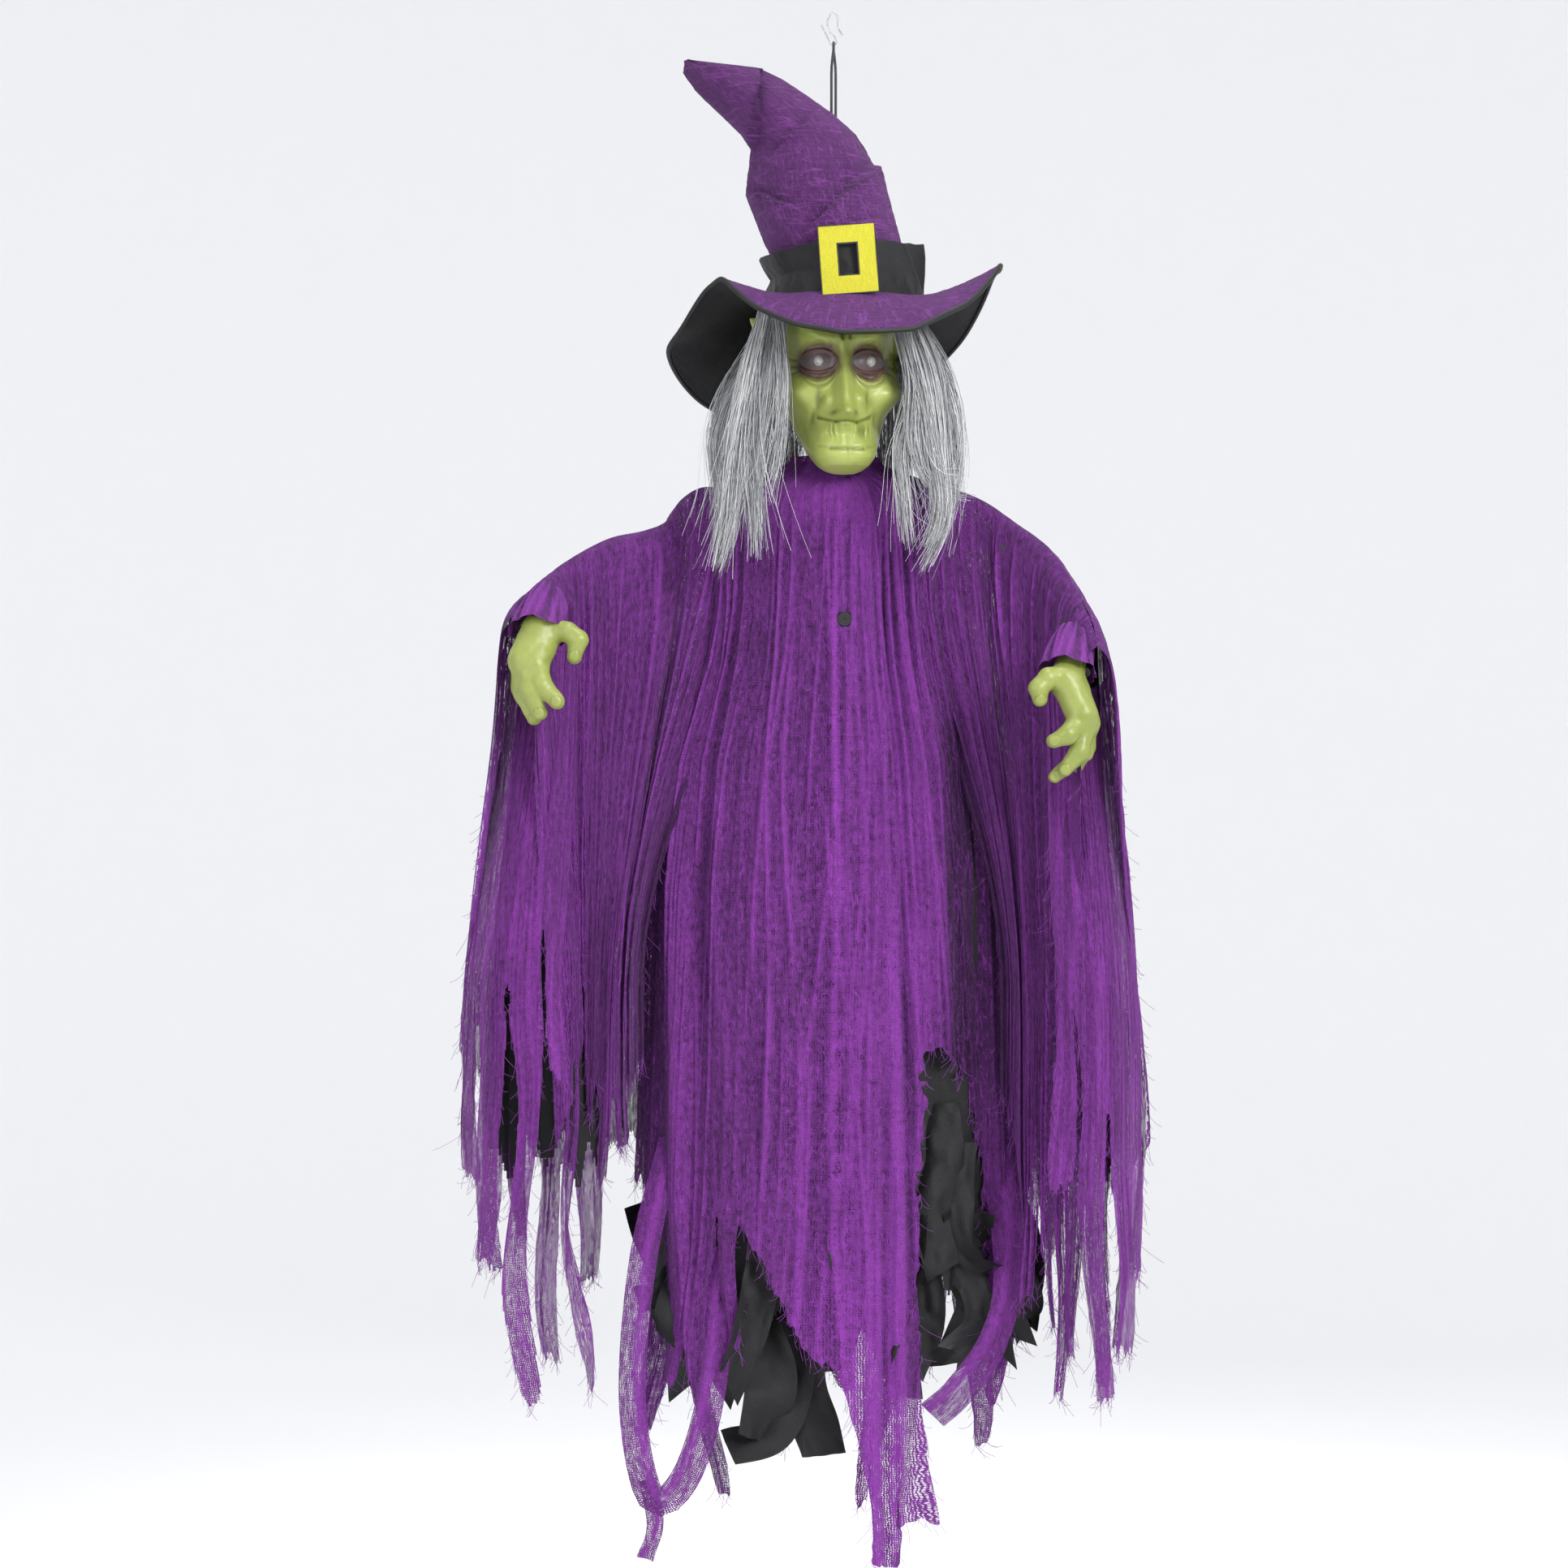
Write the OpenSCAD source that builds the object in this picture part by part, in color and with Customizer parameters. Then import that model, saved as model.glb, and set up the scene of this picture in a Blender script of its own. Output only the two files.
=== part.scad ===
// Hanging animated witch: a wire hook and an elastic cord carry a chest case, whose motor
// turns the head through a gear train, while posable arms spread a gauze robe.
// Origin: top bend of the hook. +Z is up, -Y is the side that the witch faces, millimetres.

/* [Hook and cord] */
// Diameter of the hook's wire
hook_wire_d = 1.4; // [1.2:0.1:2]
// Diameter of the elastic cord
cord_d = 2.2; // [1.6:0.1:2.4]
// Height of the hook's lower bend, which the cord hangs on
swing_z = -27; // [-30:1:-25]

/* [Chest case] */
// Width of the chest case
case_w = 112; // [108:1:116]
// Depth of the chest case, front to back
case_d = 64; // [62:1:66]
// Height of the chest case
case_h = 135; // [130:1:140]
// Top of the chest case
case_top = -410; // [-412:1:-409]
// Wall of the chest case
case_wall = 2; // [1.6:0.2:2.4]

/* [Head drive] */
// Teeth of the gear on the neck
neck_teeth = 50; // [50:1:50]
// Teeth of both small gears of the train
small_teeth = 12; // [12:1:12]
// Teeth of the second gear's large wheel
second_teeth = 44; // [44:1:44]
// Teeth of the first gear's large wheel
first_teeth = 40; // [40:1:40]
// Teeth of the motor's pinion
pinion_teeth = 10; // [10:1:10]
// Play between meshing teeth, along the pitch circle
backlash = 0.16; // [0.1:0.01:0.2]
// Outer diameter of the neck tube
neck_tube_d = 12; // [12:0.5:13]
// Inner diameter of the neck tube, which the cord runs through
neck_bore_d = 8; // [7:0.5:9]
// Radial play of every turning fit
running_play = 0.05; // [0.02:0.01:0.1]

/* [Head and hat] */
// How far the face looks to one side at rest
face_turn = 8; // [4:1:10]
// Wall of the moulded head
head_wall = 2; // [1.5:0.25:2.5]
// Thickness of the hat's fabric and its backing
hat_wall = 1.5; // [1:0.25:2]
// Thickness of the brim
brim_t = 2; // [1.5:0.25:2.5]

/* [Arms and hands] */
// Distance of each shoulder pivot from the middle
shoulder_x = 112; // [110:1:114]
// Diameter of the shoulder bolts
shoulder_bolt_d = 6; // [5:0.5:6]
// Diameter of the arm tubes
arm_d = 12; // [10:1:13]

/* [Robe] */
// Thickness of the gauze robe with its folds
robe_wall = 2.5; // [2:0.5:3]
// Thickness of the black lining
lining_wall = 1.5; // [1:0.25:1.5]
// Height where the robe's hem starts to be ragged
hem_z = -960; // [-965:1:-950]
// Lowest tip of the tatters
lowest_z = -1234; // [-1240:1:-1225]

/* [Hidden] */
$fn = 48;
e = 0.01;
wide = 400;

purple = [0.40, 0.12, 0.55];
skin = [0.50, 0.58, 0.22];
black = [0.06, 0.06, 0.07];
steel = [0.72, 0.73, 0.75];
grey_hair = [0.66, 0.67, 0.69];
white_plastic = [0.90, 0.90, 0.88];

// ---------- shared shapes ----------

function unit(v) = v / norm(v);

// Rings run upwards, and the points of each ring run anticlockwise seen from above.
module loft(rings) {
    n = len(rings[0]);
    last = len(rings) - 1;
    points = [for (ring = rings) each ring];
    sides = [for (k = [0:last - 1], i = [0:n - 1])
        let (a = k * n + i, b = k * n + (i + 1) % n) each [[a, a + n, b + n], [a, b + n, b]]];
    bottom = [[for (i = [0:n - 1]) i]];
    top = [[for (i = [n - 1:-1:0]) last * n + i]];
    polyhedron(points = points, faces = concat(sides, bottom, top));
}

// Rings follow each other round a closed path.
module closed_loft(rings) {
    n = len(rings[0]);
    count = len(rings);
    points = [for (ring = rings) each ring];
    sides = [for (k = [0:count - 1], i = [0:n - 1])
        let (next = (k + 1) % count, j = (i + 1) % n)
        each [[k * n + i, next * n + i, next * n + j], [k * n + i, next * n + j, k * n + j]]];
    polyhedron(points = points, faces = sides);
}

function superellipse(t, power) = [
    sign(cos(t)) * pow(abs(cos(t)), 2 / power),
    sign(sin(t)) * pow(abs(sin(t)), 2 / power)
];

function level_ring(centre, a, b, turn = 0, power = 2, n = 36) = [
    for (i = [0:n - 1])
        let (s = superellipse(360 * i / n, power), x = a * s[0], y = b * s[1])
        centre + [x * cos(turn) - y * sin(turn), x * sin(turn) + y * cos(turn), 0]
];

function tangents(path, closed) = [
    for (k = [0:len(path) - 1])
        let (before = closed ? path[(k + len(path) - 1) % len(path)] : path[max(k - 1, 0)],
             after = closed ? path[(k + 1) % len(path)] : path[min(k + 1, len(path) - 1)])
        unit(after - before)
];

function tube_rings(path, r, sides, closed) = [
    let (along = tangents(path, closed))
    for (k = [0:len(path) - 1])
        let (u = unit(cross([0.7, 0.7, 0.1], along[k])), v = cross(along[k], u))
        [for (i = [0:sides - 1])
            path[k] + r * (cos(360 * i / sides) * u + sin(360 * i / sides) * v)]
];

module rounded_rect(w, d, r) {
    square([w - 2 * r, d], center = true);
    square([w, d - 2 * r], center = true);
    for (sx = [-1, 1], sy = [-1, 1])
        translate([sx * (w / 2 - r), sy * (d / 2 - r)]) circle(r);
}

module box_between(low, high) {
    translate(low) cube(high - low);
}

module upright(x, y, low, high, r) {
    translate([x, y, low]) cylinder(h = high - low, r = r);
}

// ---------- gears ----------

pressure_angle = 25;
tooth_top = 0.85;
tooth_root = 1.2;
neck_module = 0.8;
second_module = 0.6;
first_module = 0.5;
flank_steps = 4;

function roll(r, base_r) = r <= base_r ? 0 : sqrt(pow(r / base_r, 2) - 1) * 180 / PI;
function involute(r, base_r) = roll(r, base_r) - atan(roll(r, base_r) * PI / 180);

function tooth_flank(m, teeth) =
    let (pitch_r = m * teeth / 2,
         base_r = pitch_r * cos(pressure_angle),
         top_r = pitch_r + tooth_top * m,
         root_r = pitch_r - tooth_root * m,
         low_r = max(base_r, root_r),
         half = 90 / teeth - backlash / 4 / pitch_r * 180 / PI + involute(pitch_r, base_r))
    concat([[root_r, half]],
           [for (i = [0:flank_steps])
               let (r = low_r + (top_r - low_r) * i / flank_steps)
               [r, half - involute(r, base_r)]]);

module gear_outline(m, teeth, phase) {
    flank = tooth_flank(m, teeth);
    polygon([for (k = [0:teeth - 1])
        let (middle = phase + 360 * k / teeth)
        each concat(
            [for (p = flank) p[0] * [cos(middle - p[1]), sin(middle - p[1])]],
            [for (i = [len(flank) - 1:-1:0])
                let (p = flank[i]) p[0] * [cos(middle + p[1]), sin(middle + p[1])]])]);
}

// The phase at which a gear meshes with its driver, which lies at heading + 180.
function mesh_phase(driver_phase, driver_teeth, teeth, heading) =
    heading + 180 + 180 / teeth - (driver_phase - heading) * driver_teeth / teeth;

neck_second_gap = neck_module * (neck_teeth + small_teeth) / 2;
second_first_gap = second_module * (second_teeth + small_teeth) / 2;
first_pinion_gap = first_module * (first_teeth + pinion_teeth) / 2;
second_xy = [-neck_second_gap, 0];
first_xy = second_xy + [0, second_first_gap];
pinion_xy = first_xy - [first_pinion_gap, 0];

second_small_phase = mesh_phase(0, neck_teeth, small_teeth, 180);
first_small_phase = mesh_phase(0, second_teeth, small_teeth, 90);
pinion_phase = mesh_phase(0, first_teeth, pinion_teeth, 180);

plate_top = case_top - 24;
plate_t = 4;
washer_t = 1;
low_gear = [plate_top + 3, plate_top + 10];
middle_gear = [plate_top + 11, plate_top + 15];
high_gear = [plate_top + 16, plate_top + 19];
gear_pin_r = 1;

// A wheel with a small wheel under it, both on one pin.
module compound_gear(xy, small_m, small_phase, small_z, large_m, large_n, large_phase, large_z) {
    translate([xy[0], xy[1], 0]) difference() {
        union() {
            translate([0, 0, small_z[0] - 0.4])
                linear_extrude(large_z[0] - small_z[0] + 0.4 + e)
                    gear_outline(small_m, small_teeth, small_phase);
            translate([0, 0, large_z[0]]) linear_extrude(large_z[1] - large_z[0])
                gear_outline(large_m, large_n, large_phase);
        }
        upright(0, 0, plate_top, large_z[1] + 1, gear_pin_r + running_play);
    }
}

module second_gear() {
    color(white_plastic)
        compound_gear(second_xy, neck_module, second_small_phase, low_gear,
                      second_module, second_teeth, 0, middle_gear);
}

module first_gear() {
    color(white_plastic)
        compound_gear(first_xy, second_module, first_small_phase, middle_gear,
                      first_module, first_teeth, 0, high_gear);
}

motor_shaft_r = 1;

module motor_pinion() {
    color(white_plastic) translate([pinion_xy[0], pinion_xy[1], 0]) difference() {
        translate([0, 0, high_gear[0] - 1]) linear_extrude(high_gear[1] - high_gear[0] + 1.5)
            gear_outline(first_module, pinion_teeth, pinion_phase);
        upright(0, 0, plate_top, plate_top + 30, motor_shaft_r);
    }
}

motor_r = 10;
motor_flat = 15;
motor_len = 25;
motor_top = plate_top - plate_t;
motor_boss_r = 3;

module motor_shaft() {
    color(steel) upright(pinion_xy[0], pinion_xy[1], motor_top - motor_len + 3,
                         high_gear[1] + 0.5, motor_shaft_r);
}

module motor() {
    color(steel) translate([pinion_xy[0], pinion_xy[1], 0]) difference() {
        union() {
            translate([0, 0, motor_top - motor_len]) linear_extrude(motor_len)
                intersection() {
                    circle(motor_r);
                    square([2 * motor_r, motor_flat], center = true);
                }
            upright(0, 0, motor_top - e, motor_top + 1.5, motor_boss_r);
            upright(0, 0, motor_top - motor_len - 1.5, motor_top - motor_len + e, motor_boss_r + 1);
        }
        upright(0, 0, motor_top - motor_len + 3 - running_play, motor_top + 3,
                motor_shaft_r + running_play);
    }
}

module gear_plate() {
    color(white_plastic) difference() {
        translate([0, 0, plate_top - plate_t]) linear_extrude(plate_t)
            rounded_rect(case_w - 2 * case_wall - 1, case_d - 2 * case_wall - 1, 4);
        upright(0, 0, plate_top - plate_t - 1, plate_top + 1, neck_tube_d / 2 + running_play);
        upright(pinion_xy[0], pinion_xy[1], plate_top - plate_t - 1, plate_top + 1, motor_boss_r);
        for (xy = [second_xy, first_xy])
            upright(xy[0], xy[1], plate_top - plate_t - 1, plate_top + 1, gear_pin_r);
    }
    color(white_plastic) for (side = [-1, 1]) difference() {
        box_between([-3.5, side * 8.5 - 2, anchor_z - 3], [3.5, side * 8.5 + 2, plate_top - plate_t + e]);
        translate([0, 0, anchor_z]) rotate([90, 0, 0])
            cylinder(h = wide, r = anchor_r, center = true);
    }
}

module gear_pins() {
    color(steel) for (pin = [[second_xy, middle_gear[1]], [first_xy, high_gear[1]]])
        upright(pin[0][0], pin[0][1], plate_top - plate_t, pin[1] + 0.8, gear_pin_r);
}

module thrust_washer() {
    color(steel) difference() {
        upright(0, 0, plate_top, plate_top + washer_t, 10);
        upright(0, 0, plate_top - 1, plate_top + 3, neck_tube_d / 2 + running_play);
    }
}

module neck_gear() {
    color(white_plastic) difference() {
        union() {
            upright(0, 0, plate_top + washer_t, low_gear[0] + e, 9);
            translate([0, 0, low_gear[0]]) linear_extrude(low_gear[1] - low_gear[0])
                gear_outline(neck_module, neck_teeth, 0);
        }
        upright(0, 0, plate_top, low_gear[1] + 1, neck_tube_d / 2);
    }
}

head_plate_z = -320;
head_plate_t = 4;

module neck_tube() {
    color(steel) difference() {
        upright(0, 0, plate_top - plate_t, head_plate_z + head_plate_t + 2, neck_tube_d / 2);
        upright(0, 0, plate_top - plate_t - 2, head_plate_z + head_plate_t + 3, neck_bore_d / 2);
    }
}

module head_plate() {
    color(white_plastic) difference() {
        upright(0, 0, head_plate_z, head_plate_z + head_plate_t, 30);
        upright(0, 0, head_plate_z - 1, head_plate_z + head_plate_t + 1, neck_tube_d / 2);
        for (a = [45:90:315]) rotate([0, 0, a])
            upright(20, 0, head_plate_z - 1, head_plate_z + head_plate_t + 1, 4);
    }
}

// ---------- hook and cord ----------

hook_path = [
    [7.5, 0, -19.5], [5, 0, -16], [3.4, 0, -13], [3.4, 0, -7], [2.6, 0, -2.6], [0, 0, -0.7],
    [-2.8, 0, -2.8], [-4.8, 0, -7], [-4.9, 0, -11], [-2.6, 0, -17], [0.9, 0, -20.5],
    [2.4, 0, -23.4], [2.4, 0, -25], [1.3, 0, -26.6], [0, 0, swing_z], [-2.2, 0, -26.2],
    [-4.4, 0, -22], [-9.8, 0, -11]
];

module wire_hook() {
    color(steel) loft(tube_rings(hook_path, hook_wire_d / 2, 12, false));
}

anchor_r = 1.5;
anchor_z = plate_top - plate_t + 1 - anchor_r - 2.5;
strand_x = 1.7;
top_reach = hook_wire_d / 2 + 0.3 + cord_d / 2;
low_reach = anchor_r + 0.2 + cord_d / 2;
cord_path = [
    [0, 0, anchor_z - low_reach],
    [0.7 * low_reach, 0, anchor_z - 0.7 * low_reach],
    [low_reach, 0, anchor_z],
    [2.2, 0, anchor_z + 5],
    [strand_x, 0, anchor_z + 12],
    [strand_x, 0, -250],
    [strand_x, 0, -50],
    [1.5, 0.9, -44],
    [0.8, 1.8, -37],
    [0, top_reach, -31],
    [0, top_reach, swing_z],
    [0, 0.7 * top_reach, swing_z + 0.7 * top_reach],
    [0, 0, swing_z + top_reach],
    [0, -0.7 * top_reach, swing_z + 0.7 * top_reach],
    [0, -top_reach, swing_z],
    [0, -top_reach, -31],
    [-0.8, -1.8, -37],
    [-1.5, -0.9, -44],
    [-strand_x, 0, -50],
    [-strand_x, 0, -250],
    [-strand_x, 0, anchor_z + 12],
    [-2.2, 0, anchor_z + 5],
    [-low_reach, 0, anchor_z],
    [-0.7 * low_reach, 0, anchor_z - 0.7 * low_reach]
];

module hanging_cord() {
    color(black) closed_loft(tube_rings(cord_path, cord_d / 2, 8, true));
}

module cord_anchor_pin() {
    color(steel) translate([0, 0, anchor_z]) rotate([90, 0, 0])
        cylinder(h = 22, r = anchor_r, center = true);
}

// ---------- head ----------

// Each entry is height, middle in y, half width and half depth.
head_levels = [
    [-371, -49, 12, 11], [-362, -43, 22, 19], [-350, -35, 30, 29], [-335, -21, 37, 44],
    [-310, -7, 43, 56], [-285, -3, 46, 60], [-262, 0, 47, 61], [-240, 0, 47, 61],
    [-215, 2, 42, 54], [-200, 2, 33, 42], [-190, 2, 18, 24]
];
head_split_y = -8;
ear_at = [47, 4, -262];
eye_x = 20;
eye_z = -280;
led_r = 2.9;
led_dome_r = 2.5;
led_face_y = -61;

function head_rings(inset) = [
    for (k = [0:len(head_levels) - 1])
        let (h = head_levels[k], lift = k == 0 ? inset : k == len(head_levels) - 1 ? -inset : 0)
        level_ring([0, h[1], h[0] + lift], h[2] - inset, h[3] - inset, n = 40)
];

module head_shell() {
    difference() {
        loft(head_rings(0));
        loft(head_rings(head_wall));
        upright(0, 0, -400, -330, 10);
        upright(0, 0, -200, -150, 6);
    }
}

module nose() {
    hull() {
        translate([0, -58, -262]) sphere(r = 5, $fn = 16);
        translate([0, -62, -300]) scale([2, 1, 1]) sphere(r = 6, $fn = 16);
        translate([0, -77, -313]) sphere(r = 4, $fn = 16);
    }
}

module chin() {
    hull() {
        translate([0, -54, -362]) sphere(r = 8, $fn = 16);
        translate([0, -50, -345]) scale([1.8, 1, 1]) sphere(r = 9, $fn = 16);
    }
}

module ear(side) {
    hull() {
        translate([side * ear_at[0], ear_at[1], ear_at[2]]) sphere(r = 4, $fn = 12);
        translate([side * (ear_at[0] + 14), ear_at[1] + 6, ear_at[2] + 13]) sphere(r = 1.5, $fn = 12);
    }
}

module head_front() {
    color(skin) rotate([0, 0, face_turn]) difference() {
        union() {
            intersection() {
                head_shell();
                box_between([-60, -90, -400], [60, head_split_y, -150]);
            }
            difference() {
                union() { nose(); chin(); }
                loft(head_rings(head_wall / 2));
            }
        }
        for (side = [-1, 1]) translate([side * eye_x, 0, eye_z]) rotate([90, 0, 0])
            cylinder(h = 90, r = led_r + 0.1);
    }
}

module head_back() {
    color(skin) rotate([0, 0, face_turn]) {
        intersection() {
            head_shell();
            box_between([-60, head_split_y, -400], [60, 90, -150]);
        }
        for (side = [-1, 1]) difference() {
            ear(side);
            loft(head_rings(head_wall / 2));
        }
    }
}

module eye_leds() {
    color([0.9, 0.9, 0.92]) rotate([0, 0, face_turn]) for (side = [-1, 1])
        translate([side * eye_x, led_face_y, eye_z]) rotate([90, 0, 0]) {
            cylinder(h = 2, r = led_dome_r);
            translate([0, 0, 2 - e]) sphere(r = led_dome_r, $fn = 24);
            translate([0, 0, -6]) cylinder(h = 6 + e, r = led_dome_r);
            for (lead = [-1.2, 1.2])
                translate([lead, 0, -14]) cylinder(h = 8 + e, r = 0.35);
        }
}

bracket_t = 2.5;
bracket_y = led_face_y + 10.5;

module led_bracket() {
    color(white_plastic) rotate([0, 0, face_turn]) difference() {
        union() {
            box_between([-22.5, bracket_y, eye_z - 5], [22.5, bracket_y + bracket_t, eye_z + 5]);
            box_between([-6, bracket_y, head_plate_z + head_plate_t],
                        [6, bracket_y + bracket_t, eye_z - 5 + e]);
            box_between([-6, bracket_y, head_plate_z + head_plate_t],
                        [6, -14, head_plate_z + head_plate_t + bracket_t]);
        }
        for (side = [-1, 1], lead = [-1.2, 1.2]) translate([side * eye_x + lead, 0, eye_z])
            rotate([90, 0, 0]) cylinder(h = 90, r = 0.6);
    }
}

// ---------- hat ----------

// Each entry is height, middle in x, half width and half depth.
hat_levels = [
    [-240, 6, 57, 66], [-190, 1, 55, 60], [-154, -9, 53, 52], [-130, -16, 51, 47],
    [-108, -22, 46, 42], [-85, -42, 43, 36], [-62, -70, 38, 28], [-48, -89, 29, 20],
    [-40, -107, 13, 11]
];

function hat_rings(inset) = [
    for (k = [0:len(hat_levels) - 1])
        let (h = hat_levels[k], drop = k == 0 ? 1 : k == len(hat_levels) - 1 ? 1 : 0)
        level_ring([h[1], 0, h[0] - (inset > 0 ? drop : 0)], h[2] - inset, h[3] - inset, n = 40)
];

module hat_cone() {
    color(purple) difference() {
        loft(hat_rings(0));
        loft(hat_rings(hat_wall));
        upright(0, 0, -110, -20, 4);
    }
}

// Heading round the brim, height of its edge there.
brim_edge_z = [
    [-90, -258], [-60, -254], [-35, -236], [-12, -206], [8, -210], [30, -255], [55, -290],
    [90, -318], [125, -322], [150, -305], [172, -282], [190, -258], [203, -228], [215, -222],
    [235, -240], [255, -254], [270, -258]
];
brim_edge_r = [[-90, 118], [-45, 122], [-12, 134], [30, 122], [90, 118], [150, 124],
               [180, 132], [205, 106], [235, 108], [270, 118]];
brim_steps = 60;
brim_parts = 4;

function heading(k) = -90 + 360 * k / brim_steps;
function brim_root(t) = [6 + 58 * cos(t), 67 * sin(t), -240];
function brim_edge(t) = [lookup(t, brim_edge_r) * cos(t), lookup(t, brim_edge_r) * sin(t),
                         lookup(t, brim_edge_z)];
function brim_point(t, s) =
    let (a = brim_root(t), b = brim_edge(t), z = a[2] + (b[2] - a[2]) * pow(s, 1.6))
    [a[0] + (b[0] - a[0]) * s, a[1] + (b[1] - a[1]) * s, z];

module hat_brim() {
    color(purple) closed_loft([
        for (k = [0:brim_steps - 1])
            let (t = heading(k))
            concat([for (i = [0:brim_parts]) brim_point(t, i / brim_parts)],
                   [for (i = [brim_parts:-1:0]) brim_point(t, i / brim_parts) + [0, 0, brim_t]])
    ]);
}

module brim_binding() {
    color(black) closed_loft([
        for (k = [0:brim_steps - 1])
            let (t = heading(k), out = [cos(t), sin(t), 0],
                 middle = brim_edge(t) + [0, 0, brim_t / 2] + 2 * out)
            [for (i = [0:7]) middle + 1.7 * (cos(45 * i) * out + sin(45 * i) * [0, 0, 1])]
    ]);
}

band_low = -236;
band_high = -190;

function band_ring(z, gap) =
    let (s = (z + 240) / 50)
    level_ring([6 - 5 * s, 0, z], 57 - 2 * s + gap, 66 - 6 * s + gap, n = 40);

module hat_band() {
    color(black) difference() {
        loft([band_ring(band_low, 2), band_ring(band_high, 3.5)]);
        loft([band_ring(band_low - 1, 0.4), band_ring(band_high + 1, 0.4)]);
    }
}

module hat_buckle() {
    color([0.86, 0.84, 0.10]) translate([8, -69.5, -209]) rotate([-7, 0, 0]) difference() {
        cube([44, 2, 56], center = true);
        translate([-1, 0, 0]) cube([15, 6, 26], center = true);
    }
}

// ---------- hair ----------

// Each entry is height, middle in x and y, half length, half thickness and heading.
side_hair = [
    [-449, 72, -66, 34, 5, 15], [-410, 70, -60, 32, 6, 22], [-370, 68, -50, 28, 6, 35],
    [-320, 63, -42, 26, 6, 50], [-262, 57, -36, 22, 5, 62]
];
back_hair = [[-432, 60, 58], [-380, 66, 58], [-320, 72, 54], [-262, 70, 50]];

module side_hair(side) {
    loft([for (h = side_hair)
        level_ring([side * h[1], h[2], h[0]], h[3], h[4], side * h[5], n = 24)]);
}

module hair_left() { color(grey_hair) side_hair(-1); }

module hair_right() { color(grey_hair) side_hair(1); }

module hair_back() {
    color(grey_hair) loft([for (h = back_hair) [
        [-h[2], h[1] - 6, h[0]], [0, h[1] - 1, h[0]], [h[2], h[1] - 6, h[0]],
        [h[2], h[1], h[0]], [0, h[1] + 5, h[0]], [-h[2], h[1], h[0]]
    ]]);
}

// ---------- chest case and what it holds ----------

case_low = case_top - case_h;
case_r = 6;
bay_w = 62;
bay_front = -24;
bay_back = 24;
bay_top = case_low + 22;
speaker_z = -505;
speaker_x = 22;
sensor_x = 8;
sensor_z = -489;
switch_at = [44, -6];
knob_w = 4;

module case_shell() {
    difference() {
        translate([0, 0, case_low]) linear_extrude(case_h) rounded_rect(case_w, case_d, case_r);
        translate([0, 0, case_low + case_wall]) linear_extrude(case_h - 2 * case_wall)
            rounded_rect(case_w - 2 * case_wall, case_d - 2 * case_wall, case_r - case_wall);
        upright(0, 0, case_top - 5, case_top + 5, neck_tube_d / 2 + 1);
        box_between([-bay_w / 2, bay_front, case_low - 1], [bay_w / 2, bay_back, case_low + 5]);
        box_between([switch_at[0] - 4.5, switch_at[1] - 2, case_low - 1],
                    [switch_at[0] + 4.5, switch_at[1] + 2, case_low + 5]);
    }
}

screw_x = 46;
screw_heights = [-470, -530];

module chest_front_case() {
    color(white_plastic) {
        difference() {
            intersection() {
                case_shell();
                box_between([-wide, -wide, -wide * 2], [wide, 0, 0]);
            }
            translate([sensor_x, 0, sensor_z]) rotate([90, 0, 0]) cylinder(h = 90, r = 4.9);
            for (z = screw_heights, side = [-1, 1])
                translate([side * screw_x, 0, z]) rotate([90, 0, 0]) cylinder(h = 90, r = 1.6);
        }
    }
}

module chest_back_case() {
    color(white_plastic) {
        difference() {
            intersection() {
                case_shell();
                box_between([-wide, 0, -wide * 2], [wide, wide, 0]);
            }
            for (row = [-2:2], column = [-2:2])
                if (abs(row) + abs(column) < 4)
                    translate([speaker_x + 6 * column, 0, speaker_z + 6 * row])
                        rotate([-90, 0, 0]) cylinder(h = 90, r = 1.5);
        }
        for (side = [-1, 1]) difference() {
            box_between([side * 32 - 2, door_axis[0] - 2.3, door_axis[1] - 2.4],
                        [side * 32 + 2, door_axis[0] + 2.4, case_low + e]);
            translate([-wide, door_axis[0], door_axis[1]]) rotate([0, 90, 0])
                cylinder(h = 2 * wide, r = door_pin_r);
        }
        for (z = screw_heights, side = [-1, 1]) translate([side * screw_x, 0, z]) rotate([-90, 0, 0])
            difference() {
                translate([0, 0, 6]) cylinder(h = case_d / 2 - case_wall - 6 + e, r = 3.2);
                translate([0, 0, 5]) cylinder(h = 14, r = 1.4);
            }
    }
}

module case_screws() {
    color(steel) for (z = screw_heights, side = [-1, 1])
        translate([side * screw_x, -case_d / 2 - 2, z]) rotate([-90, 0, 0]) {
            cylinder(h = 2, r = 2.8);
            translate([0, 0, 2 - e]) cylinder(h = case_d / 2 + 14, r = 1.4);
        }
}

door_pin_r = 1.25;
door_axis = [case_d / 2 - 2.6, case_low - 3.1];
door_t = 2;

module battery_door() {
    color(white_plastic) difference() {
        union() {
            box_between([-bay_w / 2 - 3, bay_front - 3, case_low - 0.3 - door_t],
                        [bay_w / 2 + 3, door_axis[0] - 3.5, case_low - 0.3]);
            box_between([-29, door_axis[0] - 4, case_low - 0.3 - door_t],
                        [29, door_axis[0], case_low - 0.3 - door_t / 2]);
            translate([-29, door_axis[0], door_axis[1]]) rotate([0, 90, 0])
                cylinder(h = 58, r = 2.3);
        }
        translate([-wide, door_axis[0], door_axis[1]]) rotate([0, 90, 0])
            cylinder(h = 2 * wide, r = door_pin_r + running_play);
    }
}

module door_hinge_pin() {
    color(steel) translate([-35, door_axis[0], door_axis[1]]) rotate([0, 90, 0])
        cylinder(h = 70, r = door_pin_r);
}

cell_r = 7.25;
cell_len = 50;
cell_pitch = 15.4;
cell_z = case_low + 12;

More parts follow.
